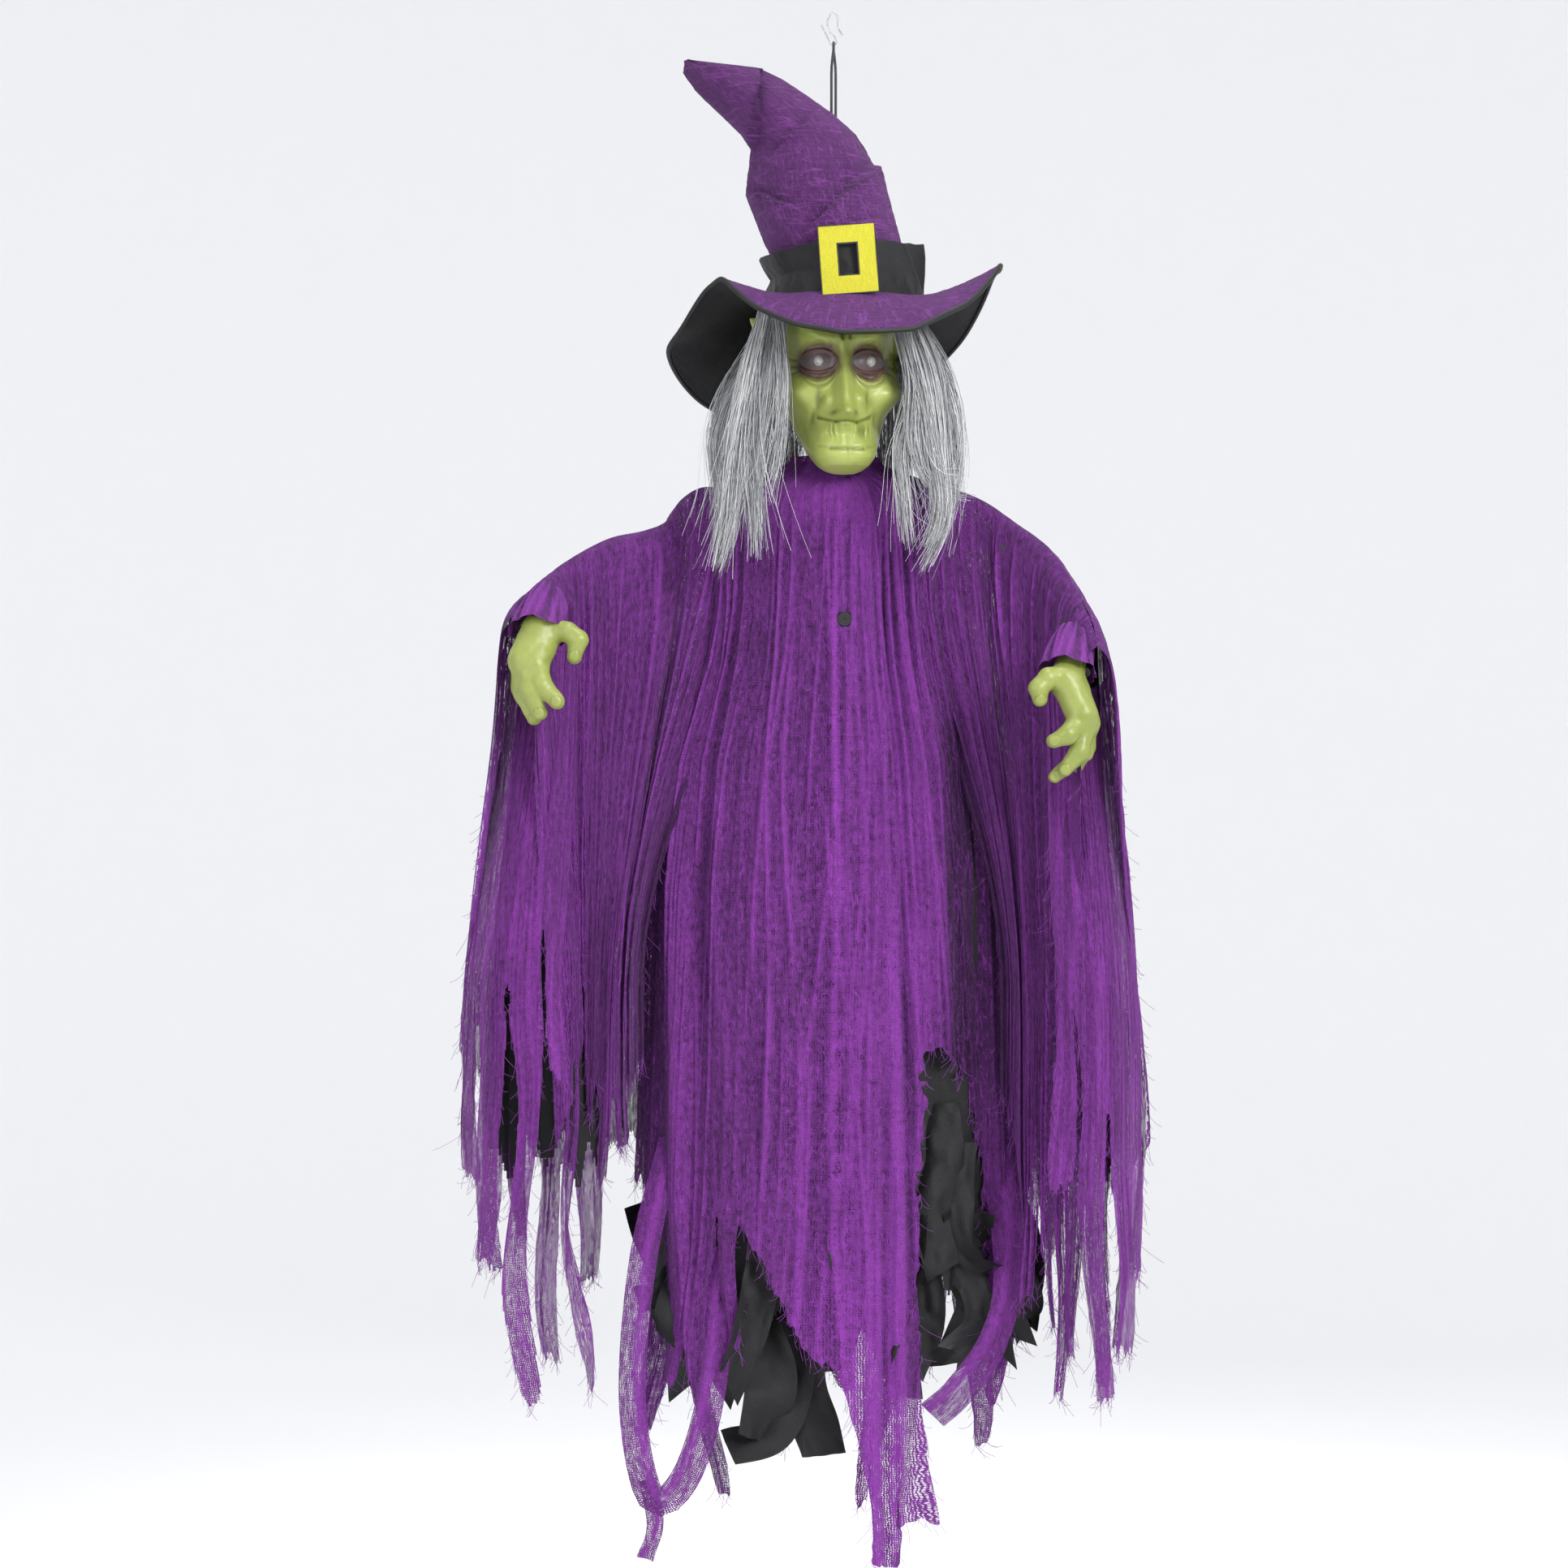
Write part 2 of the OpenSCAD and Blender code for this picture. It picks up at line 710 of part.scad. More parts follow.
module batteries() {
    for (k = [-1:1]) translate([0, k * cell_pitch, cell_z]) rotate([0, k == 0 ? -90 : 90, 0]) {
        color(black) translate([0, 0, -cell_len / 2]) cylinder(h = cell_len - 1, r = cell_r);
        color(steel) translate([0, 0, cell_len / 2 - 1 - e]) cylinder(h = 1.5, r = 2.7);
    }
}

module battery_contacts() {
    color(steel) for (k = [-1:1], side = [-1, 1])
        translate([side * (bay_w / 2 - 2), k * cell_pitch, cell_z]) rotate([0, 90, 0]) {
            cylinder(h = 0.6, r = 5.5, center = true);
            translate([0, 0, -side * (0.3 + 1)]) cylinder(h = 2, r = 2.6, center = true);
        }
}

module battery_tray() {
    color(black) difference() {
        box_between([-bay_w / 2 - 1.5, bay_front - 1.5, case_low + case_wall],
                    [bay_w / 2 + 1.5, bay_back + 1.5, bay_top + 1.5]);
        box_between([-bay_w / 2 + 1.7, bay_front, case_low], [bay_w / 2 - 1.7, bay_back, bay_top]);
        for (side = [-1, 1]) box_between([side * (bay_w / 2 - 2) - 0.4, bay_front, case_low],
                                         [side * (bay_w / 2 - 2) + 0.4, bay_back, bay_top]);
    }
}

module speaker() {
    color(black) translate([speaker_x, case_d / 2 - case_wall, speaker_z]) rotate([90, 0, 0]) {
        cylinder(h = 3, r = 18);
        translate([0, 0, 3 - e]) cylinder(h = 6, r1 = 17, r2 = 9);
        translate([0, 0, 9 - 2 * e]) cylinder(h = 5, r = 9);
    }
}

module circuit_board() {
    color([0.10, 0.35, 0.18]) box_between([-43, -22, -515], [-8, -20.4, -470]);
    color(black) box_between([-36, -20.4 - e, -500], [-22, -18, -486]);
    color(black) box_between([-18, -20.4 - e, -484], [-12, -15, -474]);
}

module sound_sensor() {
    color(black) translate([sensor_x, 0, sensor_z]) rotate([90, 0, 0]) difference() {
        union() {
            translate([0, 0, 28]) cylinder(h = 27, r = 4.8);
            translate([0, 0, 53.5]) cylinder(h = 2.5, r = 5.6);
        }
        translate([0, 0, 50]) cylinder(h = 10, r = 1);
    }
}

module switch_body() {
    color(steel) difference() {
        box_between([switch_at[0] - 6, switch_at[1] - 3.5, case_low + case_wall],
                    [switch_at[0] + 6, switch_at[1] + 3.5, case_low + case_wall + 6]);
        box_between([switch_at[0] - 4.5, switch_at[1] - 1.8, case_low],
                    [switch_at[0] + 4.5, switch_at[1] + 1.8, case_low + case_wall + 3]);
    }
}

module switch_knob() {
    color(black) box_between(
        [switch_at[0] - 4.2, switch_at[1] - 1.5, case_low - 3],
        [switch_at[0] - 4.2 + knob_w, switch_at[1] + 1.5, case_low + case_wall + 2.7]);
}

// ---------- shoulders and arms ----------

bar_t = 3;
hub_r = 9;
hub_low = case_top - 18;
left_elbow = [-205, -25, -452];
left_wrist = [-238, -95, -494];
right_elbow = [172, -40, -454];
right_wrist = [190, -124, -534];

module shoulder_bar() {
    color(steel) difference() {
        union() {
            box_between([-shoulder_x, -7, case_top], [shoulder_x, 7, case_top + bar_t]);
            for (side = [-1, 1]) upright(side * shoulder_x, 0, case_top, case_top + bar_t, 9);
        }
        upright(0, 0, case_top - 1, case_top + 5, neck_tube_d / 2 + 0.8);
        for (side = [-1, 1])
            upright(side * shoulder_x, 0, case_top - 1, case_top + 5, shoulder_bolt_d / 2);
    }
}

module shoulder_bolts() {
    color(steel) for (side = [-1, 1]) {
        upright(side * shoulder_x, 0, hub_low - 3, case_top + bar_t + e, shoulder_bolt_d / 2);
        upright(side * shoulder_x, 0, case_top + bar_t, case_top + bar_t + 3, 5);
        upright(side * shoulder_x, 0, hub_low - 5, hub_low - 0.5, 5);
    }
}

module arm_tube(side, elbow, wrist) {
    root = [side * (shoulder_x + 6), elbow[1] * 0.06, case_top - 9];
    bend_a = root + 0.8 * (elbow - root);
    bend_b = elbow + 0.22 * (wrist - elbow);
    difference() {
        union() {
            upright(side * shoulder_x, 0, hub_low, case_top - 0.5, hub_r);
            loft_path([root, bend_a, elbow, bend_b, wrist], arm_d / 2);
        }
        upright(side * shoulder_x, 0, hub_low - 1, case_top + 1, shoulder_bolt_d / 2 + running_play);
    }
}

module loft_path(path, r) {
    loft(tube_rings(path, r, 12, false));
}

module left_arm_tube() { color(black) arm_tube(-1, left_elbow, left_wrist); }

module right_arm_tube() { color(black) arm_tube(1, right_elbow, right_wrist); }

module bone(a, b, ra, rb) {
    hull() {
        translate(a) sphere(r = ra, $fn = 12);
        translate(b) sphere(r = rb, $fn = 12);
    }
}

// A claw in its own frame: the wrist is at the origin, the palm runs along -Y and faces down,
// and the thumb is on the +X side.
finger_roots = [[12, -34, -3], [4, -38, 0], [-5, -37, 0], [-13, -32, -3]];
finger_bends = [[13, -50, -18], [5, -57, -18], [-5, -56, -20], [-14, -48, -20]];
finger_ends = [[11, -50, -36], [4, -56, -42], [-5, -54, -44], [-12, -46, -38]];
finger_tips = [[9, -40, -50], [3, -44, -60], [-5, -42, -62], [-11, -36, -52]];

module claw() {
    hull() {
        translate([0, 2, 0]) scale([1.25, 1, 0.9]) sphere(r = 11, $fn = 16);
        translate([10, -30, -2]) sphere(r = 8, $fn = 12);
        translate([-11, -29, -2]) sphere(r = 8, $fn = 12);
    }
    for (k = [0:3]) {
        bone(finger_roots[k], finger_bends[k], 6.5, 5.4);
        bone(finger_bends[k], finger_ends[k], 5.4, 4.6);
        bone(finger_ends[k], finger_tips[k], 4.6, 2.6);
    }
    bone([13, -12, -4], [25, -22, -14], 7, 6);
    bone([25, -22, -14], [29, -34, -26], 6, 4.6);
    bone([29, -34, -26], [26, -40, -36], 4.6, 2.8);
}

module placed_claw(wrist, turn, mirrored) {
    translate(wrist) rotate([0, 0, turn]) mirror([mirrored ? 1 : 0, 0, 0]) difference() {
        claw();
        translate([0, 14, 0]) sphere(r = arm_d / 2 + 1, $fn = 16);
    }
}

left_hand_at = left_wrist + [-4, -14, -2];
right_hand_at = right_wrist + [-2, -14, -4];

module left_hand() { color(skin) placed_claw(left_hand_at, 10, false); }

module right_hand() { color(skin) placed_claw(right_hand_at, -6, true); }

// ---------- robe ----------

hem_power = 2.4;
// Each entry is height, half width and half depth.
robe_levels = [
    [-1000, 152, 78], [-960, 151, 78], [-700, 142, 68], [-600, 130, 62], [-520, 106, 56],
    [-480, 99, 52], [-440, 97, 46], [-400, 96, 43], [-385, 84, 36], [-373, 46, 26],
    [-366, 32, 18]
];

function robe_rings(inset, past) = [
    for (k = [0:len(robe_levels) - 1])
        let (h = robe_levels[k], lift = k == 0 ? -past : k == len(robe_levels) - 1 ? past : 0)
        level_ring([0, 0, h[0] + lift], h[1] - inset, h[2] - inset, power = hem_power, n = 48)
];

module robe_skin(outer, inner) {
    difference() {
        loft(robe_rings(outer, 0));
        loft(robe_rings(inner, 1));
        for (side = [-1, 1]) box_between([side > 0 ? 84 : -130, -34, -482],
                                         [side > 0 ? 130 : -84, 34, -396]);
        translate([sensor_x, 0, sensor_z]) rotate([90, 0, 0]) cylinder(h = 90, r = 5.1);
    }
}

module robe_half(front) {
    intersection() {
        robe_skin(0, robe_wall);
        box_between([-wide, front ? -wide : 0, hem_z], [wide, front ? 0 : wide, 0]);
    }
}

module robe_front() { color(purple) robe_half(true); }

module robe_back() { color(purple) robe_half(false); }

module robe_lining() {
    color(black) intersection() {
        robe_skin(robe_wall + 0.4, robe_wall + 0.4 + lining_wall);
        box_between([-wide, -wide, hem_z], [wide, wide, -376]);
    }
}

// Each entry is heading round the hem, width and lowest tip.
tatter_list = [
    [200, 34, -1150], [215, 30, -1226], [238, 34, -1142], [258, 42, -1070], [276, 30, lowest_z],
    [292, 34, -1200], [308, 40, -1080], [330, 34, -1130], [20, 40, -1120], [55, 36, -1150],
    [90, 40, -1180], [125, 36, -1140], [160, 40, -1170]
];

// A pointed strip that hangs below the hem, flat against its outline.
module tatter(a, b, strip) {
    here = superellipse(strip[0], hem_power);
    ahead = superellipse(strip[0] + 1, hem_power);
    along = atan2(b * (ahead[1] - here[1]), a * (ahead[0] - here[0]));
    translate([a * here[0], b * here[1], 0]) rotate([0, 0, along]) hull() {
        translate([-strip[1] / 2, -1, hem_z - 4]) cube([strip[1], 2, 4]);
        translate([-4, -1, strip[2]]) cube([8, 2, 4]);
    }
}

module robe_tatters() {
    color(purple) for (strip = tatter_list) tatter(149, 76, strip);
}

lining_list = [
    [205, 34, -1075], [225, 30, -1120], [248, 34, -1150], [266, 34, -1168], [285, 30, -1110],
    [305, 36, -1060], [330, 34, -1040], [30, 36, -1090], [70, 34, -1110], [110, 34, -1100],
    [150, 34, -1080]
];

module lining_strips() {
    color(black) for (strip = lining_list) tatter(138, 64, strip);
}

// ---------- sleeves ----------

sleeve_r = 14;
arm_hole_gap = 3.5;
sleeve_low = -1060;

// Root, elbow and outer edge of a sleeve seen from above, with their heights.
module wing(root, elbow, edge, r, lift, low) {
    hull() {
        upright(root[0], root[1], -470, root[2] + lift, r);
        upright(elbow[0], elbow[1], low, elbow[2] + lift, r);
    }
    hull() {
        upright(elbow[0], elbow[1], low, elbow[2] + lift, r);
        upright(edge[0], edge[1], low, edge[2] + lift, r);
    }
}

module sleeve(root, elbow, edge, arm_elbow, wrist) {
    difference() {
        wing(root, elbow, edge, sleeve_r, 0, sleeve_low);
        wing(root, elbow, edge, sleeve_r - robe_wall, -robe_wall, sleeve_low - 1);
        hull() {
            translate(arm_elbow) sphere(r = arm_d / 2 + arm_hole_gap, $fn = 12);
            translate(wrist) sphere(r = arm_d / 2 + arm_hole_gap, $fn = 12);
        }
        hull() {
            translate([root[0] * 0.8, 0, case_top - 9]) sphere(r = arm_d / 2 + arm_hole_gap, $fn = 12);
            translate(arm_elbow) sphere(r = arm_d / 2 + arm_hole_gap, $fn = 12);
        }
    }
}

left_wing = [[-138, -7, -402], [-210, -26, -434], [-282, -66, -500]];
right_wing = [[141, -14, -402], [179, -42, -440], [233, -84, -520]];

module left_sleeve() {
    color(purple) sleeve(left_wing[0], left_wing[1], left_wing[2], left_elbow, left_wrist);
}

module right_sleeve() {
    color(purple) sleeve(right_wing[0], right_wing[1], right_wing[2], right_elbow, right_wrist);
}

module lining_panel(elbow, edge, low) {
    hull() {
        upright(elbow[0], elbow[1], low, -520, 4);
        upright(edge[0], edge[1], low, -560, 4);
    }
}

module left_sleeve_lining() { color(black) lining_panel(left_wing[1], left_wing[2], -925); }

module right_sleeve_lining() { color(black) lining_panel(right_wing[1], right_wing[2], -950); }

wire_hook();
hanging_cord();
cord_anchor_pin();
chest_front_case();
chest_back_case();
case_screws();
gear_plate();
gear_pins();
thrust_washer();
motor();
motor_shaft();
motor_pinion();
first_gear();
second_gear();
neck_gear();
neck_tube();
head_plate();
head_front();
head_back();
eye_leds();
led_bracket();
hat_cone();
hat_brim();
brim_binding();
hat_band();
hat_buckle();
hair_left();
hair_right();
hair_back();
shoulder_bar();
shoulder_bolts();
left_arm_tube();
right_arm_tube();
left_hand();
right_hand();
left_sleeve();
right_sleeve();
left_sleeve_lining();
right_sleeve_lining();
battery_door();
door_hinge_pin();
batteries();
battery_contacts();
battery_tray();
speaker();
circuit_board();
sound_sensor();
switch_body();
switch_knob();
robe_front();
robe_back();
robe_lining();
robe_tatters();
lining_strips();
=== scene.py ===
"""Looks of the hanging animated witch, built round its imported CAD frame. Metres, +Z up, -Y is the front."""
import math

import bpy
import numpy as np
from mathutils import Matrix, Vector


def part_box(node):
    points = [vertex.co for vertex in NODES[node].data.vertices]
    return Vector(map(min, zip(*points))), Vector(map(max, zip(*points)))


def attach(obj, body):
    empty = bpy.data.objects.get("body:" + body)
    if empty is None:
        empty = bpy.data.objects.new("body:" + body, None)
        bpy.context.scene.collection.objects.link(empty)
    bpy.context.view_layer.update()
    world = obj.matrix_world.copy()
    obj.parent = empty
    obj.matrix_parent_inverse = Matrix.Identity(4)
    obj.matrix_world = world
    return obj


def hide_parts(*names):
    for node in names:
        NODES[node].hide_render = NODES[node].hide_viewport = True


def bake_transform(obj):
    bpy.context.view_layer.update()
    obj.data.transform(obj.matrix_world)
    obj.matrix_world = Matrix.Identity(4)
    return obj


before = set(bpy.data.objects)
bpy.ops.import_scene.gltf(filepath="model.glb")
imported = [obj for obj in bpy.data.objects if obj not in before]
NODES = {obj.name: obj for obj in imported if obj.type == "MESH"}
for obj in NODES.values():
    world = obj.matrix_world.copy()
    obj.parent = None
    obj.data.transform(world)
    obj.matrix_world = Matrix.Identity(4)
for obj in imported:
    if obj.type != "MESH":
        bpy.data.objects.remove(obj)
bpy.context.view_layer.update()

RNG = np.random.default_rng(7)

# ---------------------------------------------------------------- camera, stage and lights

VIEW_DISTANCE = 3.0
VIEW_X = -0.0397
VIEW_Z = -0.6188
FRAME_AT_OBJECT = 1.2558


def make_camera():
    data = bpy.data.cameras.new("camera")
    data.sensor_width = 36
    data.lens = 36 * VIEW_DISTANCE / FRAME_AT_OBJECT
    camera = bpy.data.objects.new("camera", data)
    camera.location = (VIEW_X, -VIEW_DISTANCE, VIEW_Z)
    camera.rotation_euler = (math.radians(90), 0, 0)
    bpy.context.collection.objects.link(camera)
    bpy.context.scene.camera = camera


def area_light(name, place, target, size, power, colour=(1, 1, 1)):
    data = bpy.data.lights.new(name, "AREA")
    data.shape = "DISK"
    data.size = size
    data.energy = power
    data.color = colour
    light = bpy.data.objects.new(name, data)
    light.location = place
    light.rotation_euler = (Vector(target) - Vector(place)).to_track_quat("-Z", "Y").to_euler()
    bpy.context.collection.objects.link(light)


def make_stage():
    """A pale bowl: a flat floor that curves up into a round wall on every side."""
    floor_z, floor_r, wall_r, wall_top = -1.75, 3.6, 6.0, 6.0
    profile = [(0.0, floor_z), (floor_r, floor_z)]
    for k in range(1, 13):
        a = math.radians(90 * k / 12)
        profile.append((floor_r + (wall_r - floor_r) * math.sin(a),
                        floor_z + (wall_r - floor_r) * (1 - math.cos(a))))
    profile.append((wall_r, wall_top))
    turns = 72
    points = [(r * math.cos(2 * math.pi * k / turns), r * math.sin(2 * math.pi * k / turns), z)
              for r, z in profile for k in range(turns)]
    faces = [(row * turns + k, row * turns + (k + 1) % turns,
              (row + 1) * turns + (k + 1) % turns, (row + 1) * turns + k)
             for row in range(len(profile) - 1) for k in range(turns)]
    mesh = bpy.data.meshes.new("stage")
    mesh.from_pydata(points, [], faces)
    mesh.shade_smooth()
    stage = bpy.data.objects.new("stage", mesh)
    bpy.context.collection.objects.link(stage)
    mat = bpy.data.materials.new("stage_paint")
    mat.use_nodes = True
    shader = mat.node_tree.nodes["Principled BSDF"]
    shader.inputs["Base Color"].default_value = (0.88, 0.88, 0.89, 1)
    shader.inputs["Roughness"].default_value = 0.9
    mesh.materials.append(mat)


def make_lights():
    area_light("key", (1.7, -2.4, 0.75), (0, 0, -0.55), 1.3, 82)
    area_light("fill", (-2.2, -2.6, 0.2), (0, 0, -0.7), 2.0, 30)
    area_light("top", (0.2, -0.3, 2.4), (0, 0, -0.5), 1.4, 34)
    area_light("rear", (0.5, 3.2, 0.6), (0, 0, -0.6), 2.4, 30)
    world = bpy.data.worlds.new("studio")
    world.use_nodes = True
    background = world.node_tree.nodes["Background"]
    background.inputs["Color"].default_value = (0.97, 0.98, 1.0, 1)
    background.inputs["Strength"].default_value = 0.90
    bpy.context.scene.world = world
    bpy.context.scene.view_settings.view_transform = "Standard"


make_camera()
make_stage()
make_lights()

# ---------------------------------------------------------------- node materials


class Graph:
    """Short names for building one material's nodes."""

    def __init__(self, name):
        self.mat = bpy.data.materials.new(name)
        self.mat.use_nodes = True
        self.tree = self.mat.node_tree
        self.shader = self.tree.nodes["Principled BSDF"]
        self.out = self.tree.nodes["Material Output"]

    def node(self, kind, **settings):
        made = self.tree.nodes.new(kind)
        for key, value in settings.items():
            setattr(made, key, value)
        return made

    def link(self, a, b):
        self.tree.links.new(a, b)

    def place(self, space="Object"):
        return self.node("ShaderNodeTexCoord").outputs[space]

    def scaled(self, vector, scale):
        mapping = self.node("ShaderNodeMapping")
        mapping.inputs["Scale"].default_value = scale
        self.link(vector, mapping.inputs["Vector"])
        return mapping.outputs["Vector"]

    def noise(self, vector, scale, detail=3.0, rough=0.55, distortion=0.0):
        made = self.node("ShaderNodeTexNoise")
        made.inputs["Scale"].default_value = scale
        made.inputs["Detail"].default_value = detail
        made.inputs["Roughness"].default_value = rough
        made.inputs["Distortion"].default_value = distortion
        self.link(vector, made.inputs["Vector"])
        return made.outputs["Fac"]

    def math(self, operation, a, b=None, clamp=False):
        made = self.node("ShaderNodeMath", operation=operation, use_clamp=clamp)
        for k, value in enumerate([a, b]):
            if value is None:
                continue
            if isinstance(value, (int, float)):
                made.inputs[k].default_value = value
            else:
                self.link(value, made.inputs[k])
        return made.outputs[0]

    def ramp(self, value, stops):
        made = self.node("ShaderNodeValToRGB")
        elements = made.color_ramp.elements
        while len(elements) < len(stops):
            elements.new(0.5)
        for element, (at, colour) in zip(elements, stops):
            element.position = at
            element.color = (*colour, 1) if len(colour) == 3 else colour
        self.link(value, made.inputs["Fac"])
        return made.outputs["Color"]

    def grey(self, value, low, high, out_low=0.0, out_high=1.0):
        made = self.node("ShaderNodeMapRange")
        for key, number in (("From Min", low), ("From Max", high),
                            ("To Min", out_low), ("To Max", out_high)):
            made.inputs[key].default_value = number
        self.link(value, made.inputs["Value"])
        return made.outputs["Result"]

    def mix(self, factor, a, b, blend="MIX"):
        made = self.node("ShaderNodeMix", data_type="RGBA", blend_type=blend)
        for socket, value in ((made.inputs[0], factor), (made.inputs[6], a), (made.inputs[7], b)):
            if isinstance(value, (int, float)):
                socket.default_value = value
            elif isinstance(value, tuple):
                socket.default_value = (*value, 1)
            else:
                self.link(value, socket)
        return made.outputs[2]

    def bump(self, height, strength, distance, normal=None):
        made = self.node("ShaderNodeBump")
        made.inputs["Strength"].default_value = strength
        made.inputs["Distance"].default_value = distance
        self.link(height, made.inputs["Height"])
        if normal is not None:
            self.link(normal, made.inputs["Normal"])
        return made.outputs["Normal"]

    def separate(self, vector):
        made = self.node("ShaderNodeSeparateXYZ")
        self.link(vector, made.inputs["Vector"])
        return made.outputs

    def attribute(self, name):
        return self.node("ShaderNodeAttribute", attribute_name=name).outputs["Fac"]


def plain_plastic(name, colour, roughness, grain=900, bump=0.15, coat=0.0):
    g = Graph(name)
    place = g.place()
    speck = g.noise(place, grain, 2)
    patch = g.noise(place, 35, 4)
    dark = tuple(c * 0.82 for c in colour)
    g.link(g.mix(g.grey(patch, 0.35, 0.7), dark, colour), g.shader.inputs["Base Color"])
    g.link(g.grey(patch, 0.3, 0.7, roughness - 0.07, roughness + 0.07), g.shader.inputs["Roughness"])
    g.link(g.bump(speck, bump, 0.0004), g.shader.inputs["Normal"])
    g.shader.inputs["Coat Weight"].default_value = coat
    return g.mat


def metal(name, colour, roughness, stretch):
    g = Graph(name)
    place = g.place()
    streak = g.noise(g.scaled(place, stretch), 260, 3)
    spangle = g.noise(place, 420, 2)
    g.link(g.mix(g.grey(spangle, 0.35, 0.65), tuple(c * 0.7 for c in colour), colour),
           g.shader.inputs["Base Color"])
    g.link(g.grey(streak, 0.3, 0.7, roughness - 0.1, roughness + 0.12), g.shader.inputs["Roughness"])
    g.link(g.bump(streak, 0.2, 0.0003), g.shader.inputs["Normal"])
    g.shader.inputs["Metallic"].default_value = 1.0
    return g.mat


def weave_height(g, uv, pitch, wander):
    """Two crossing sets of threads: 1 on a thread, 0 in the gap, and the threads wander."""
    drift = g.noise(uv, wander, 3)
    parts = g.separate(uv)
    found = []
    for axis, push in ((0, 0.9), (1, -0.9)):
        shifted = g.math("ADD", parts[axis], g.math("MULTIPLY", drift, push * pitch * 2.4))
        wave = g.math("SINE", g.math("MULTIPLY", shifted, 2 * math.pi / pitch))
        found.append(wave)
    return found


def thread_lines(g, uv, stretch, scale, thin):
    """Wandering light threads: the crests of a stretched noise."""
    field = g.noise(g.scaled(uv, stretch), scale, 2, 0.5, 0.4)
    crest = g.math("SUBTRACT", 1.0, g.math("ABSOLUTE", g.grey(field, 0.2, 0.8, -2.6, 2.6)))
    return g.grey(crest, 1 - thin, 1.0)


def gauze(name, base, light, cover, weft, weft_scale=260, pitch=0.0013):
    """Open crinkled gauze: wandering threads with gaps between them.

    The attribute pleat (0 to 1) marks gathered cloth, which is denser and lighter; sheer (0 to 1)
    marks single layers, which are more open; the third attribute is painted shade (0 to 1),
    which darkens the colour where folds lie in shadow.
    """
    g = Graph(name)
    uv = g.node("ShaderNodeUVMap", uv_map="cloth").outputs["UV"]
    across, down = weave_height(g, uv, pitch, 240)
    pleat, sheer, crease = g.attribute("pleat"), g.attribute("sheer"), g.attribute("crease")
    streak = g.noise(g.scaled(uv, (1, 0.14, 1)), 300, 3, 0.65)
    patch = g.noise(g.scaled(uv, (1, 0.6, 1)), 280, 3, 0.6)
    cloud = g.noise(uv, 16, 3)
    slub_down = thread_lines(g, uv, (1, 0.16, 1), 260, 0.30)
    slub_across = thread_lines(g, uv, (0.12, 1, 1), weft_scale, 0.24)
    mottle = g.math("ADD", g.grey(streak, 0.32, 0.68, -0.85, 0.85), g.grey(patch, 0.32, 0.68, -0.70, 0.70))
    mottle = g.math("MULTIPLY", mottle, g.grey(sheer, 0, 1, 1.0, 0.45))
    open_up = g.math("ADD", mottle, g.grey(pleat, 0, 1, 0.0, 1.1))
    open_up = g.math("SUBTRACT", open_up, g.math("MULTIPLY", sheer, 0.60))
    thread_a = g.grey(g.math("ADD", across, open_up), -cover - 0.35, -cover + 0.15)
    thread_b = g.grey(g.math("ADD", down, g.math("MULTIPLY", open_up, 0.8)),
                      -cover - 0.20, -cover + 0.30)
    slub = g.math("MAXIMUM", slub_down, g.math("MULTIPLY", slub_across, weft))
    cloth = g.math("MAXIMUM", g.math("MAXIMUM", thread_a, thread_b), slub, clamp=True)
    tone = g.math("ADD", g.grey(patch, 0.3, 0.72, -0.02, 0.40), g.grey(cloud, 0.3, 0.7, 0.0, 0.25))
    tone = g.math("ADD", tone, g.grey(pleat, 0, 1, -0.05, 0.65), clamp=True)
    tone = g.math("ADD", tone, g.math("MULTIPLY", sheer, 0.35), clamp=True)
    colour = g.mix(tone, base, light)
    # painted shade: this attribute pulls the colour towards a near-black purple where folds lie in shadow
    shaded = g.mix(g.math("MULTIPLY", crease, 0.8, clamp=True), colour, tuple(c * 0.12 for c in base))
    bright = tuple(min(c * 1.35, 1) for c in light)
    threads = g.mix(g.math("MULTIPLY", slub, 0.3 + 0.5 * weft), shaded, bright)
    g.link(threads, g.shader.inputs["Base Color"])
    g.shader.inputs["Roughness"].default_value = 0.85
    g.shader.inputs["Specular IOR Level"].default_value = 0.2
    g.shader.inputs["Sheen Weight"].default_value = 0.08
    g.shader.inputs["Sheen Roughness"].default_value = 0.5
    g.shader.inputs["Sheen Tint"].default_value = (0.85, 0.6, 1.0, 1)
    height = g.math("ADD", g.math("MULTIPLY", streak, 1.2),
                    g.math("MULTIPLY", g.math("ADD", across, down), 0.18))
    relief = g.math("ADD", g.math("MULTIPLY", slub, 0.9), g.math("MULTIPLY", patch, 0.9))
    height = g.math("ADD", height, relief)
    g.link(g.bump(height, 0.9, 0.0012), g.shader.inputs["Normal"])
    g.link(cloth, g.shader.inputs["Alpha"])
    return g.mat


def lining_cloth(name):
    """Black nonwoven with a satin face and a fine embossed diamond grid."""
    g = Graph(name)
    uv = g.node("ShaderNodeUVMap", uv_map="cloth").outputs["UV"]
    parts = g.separate(uv)
    diamonds = []
    for sign in (1, -1):
        slope = g.math("ADD", parts[0], g.math("MULTIPLY", parts[1], sign))
        diamonds.append(g.math("SINE", g.math("MULTIPLY", slope, 2 * math.pi / 0.0019)))
    grid = g.math("MULTIPLY", diamonds[0], diamonds[1])
    fibre = g.noise(g.scaled(uv, (1, 0.3, 1)), 900, 4)
    wave = g.noise(uv, 45, 4)
    g.link(g.mix(fibre, (0.004, 0.004, 0.0046), (0.013, 0.013, 0.0145)), g.shader.inputs["Base Color"])
    g.link(g.grey(wave, 0.3, 0.7, 0.42, 0.62), g.shader.inputs["Roughness"])
    g.shader.inputs["Specular IOR Level"].default_value = 0.32
    height = g.math("ADD", grid, g.math("MULTIPLY", wave, 6))
    g.link(g.bump(height, 0.35, 0.0005), g.shader.inputs["Normal"])
    return g.mat


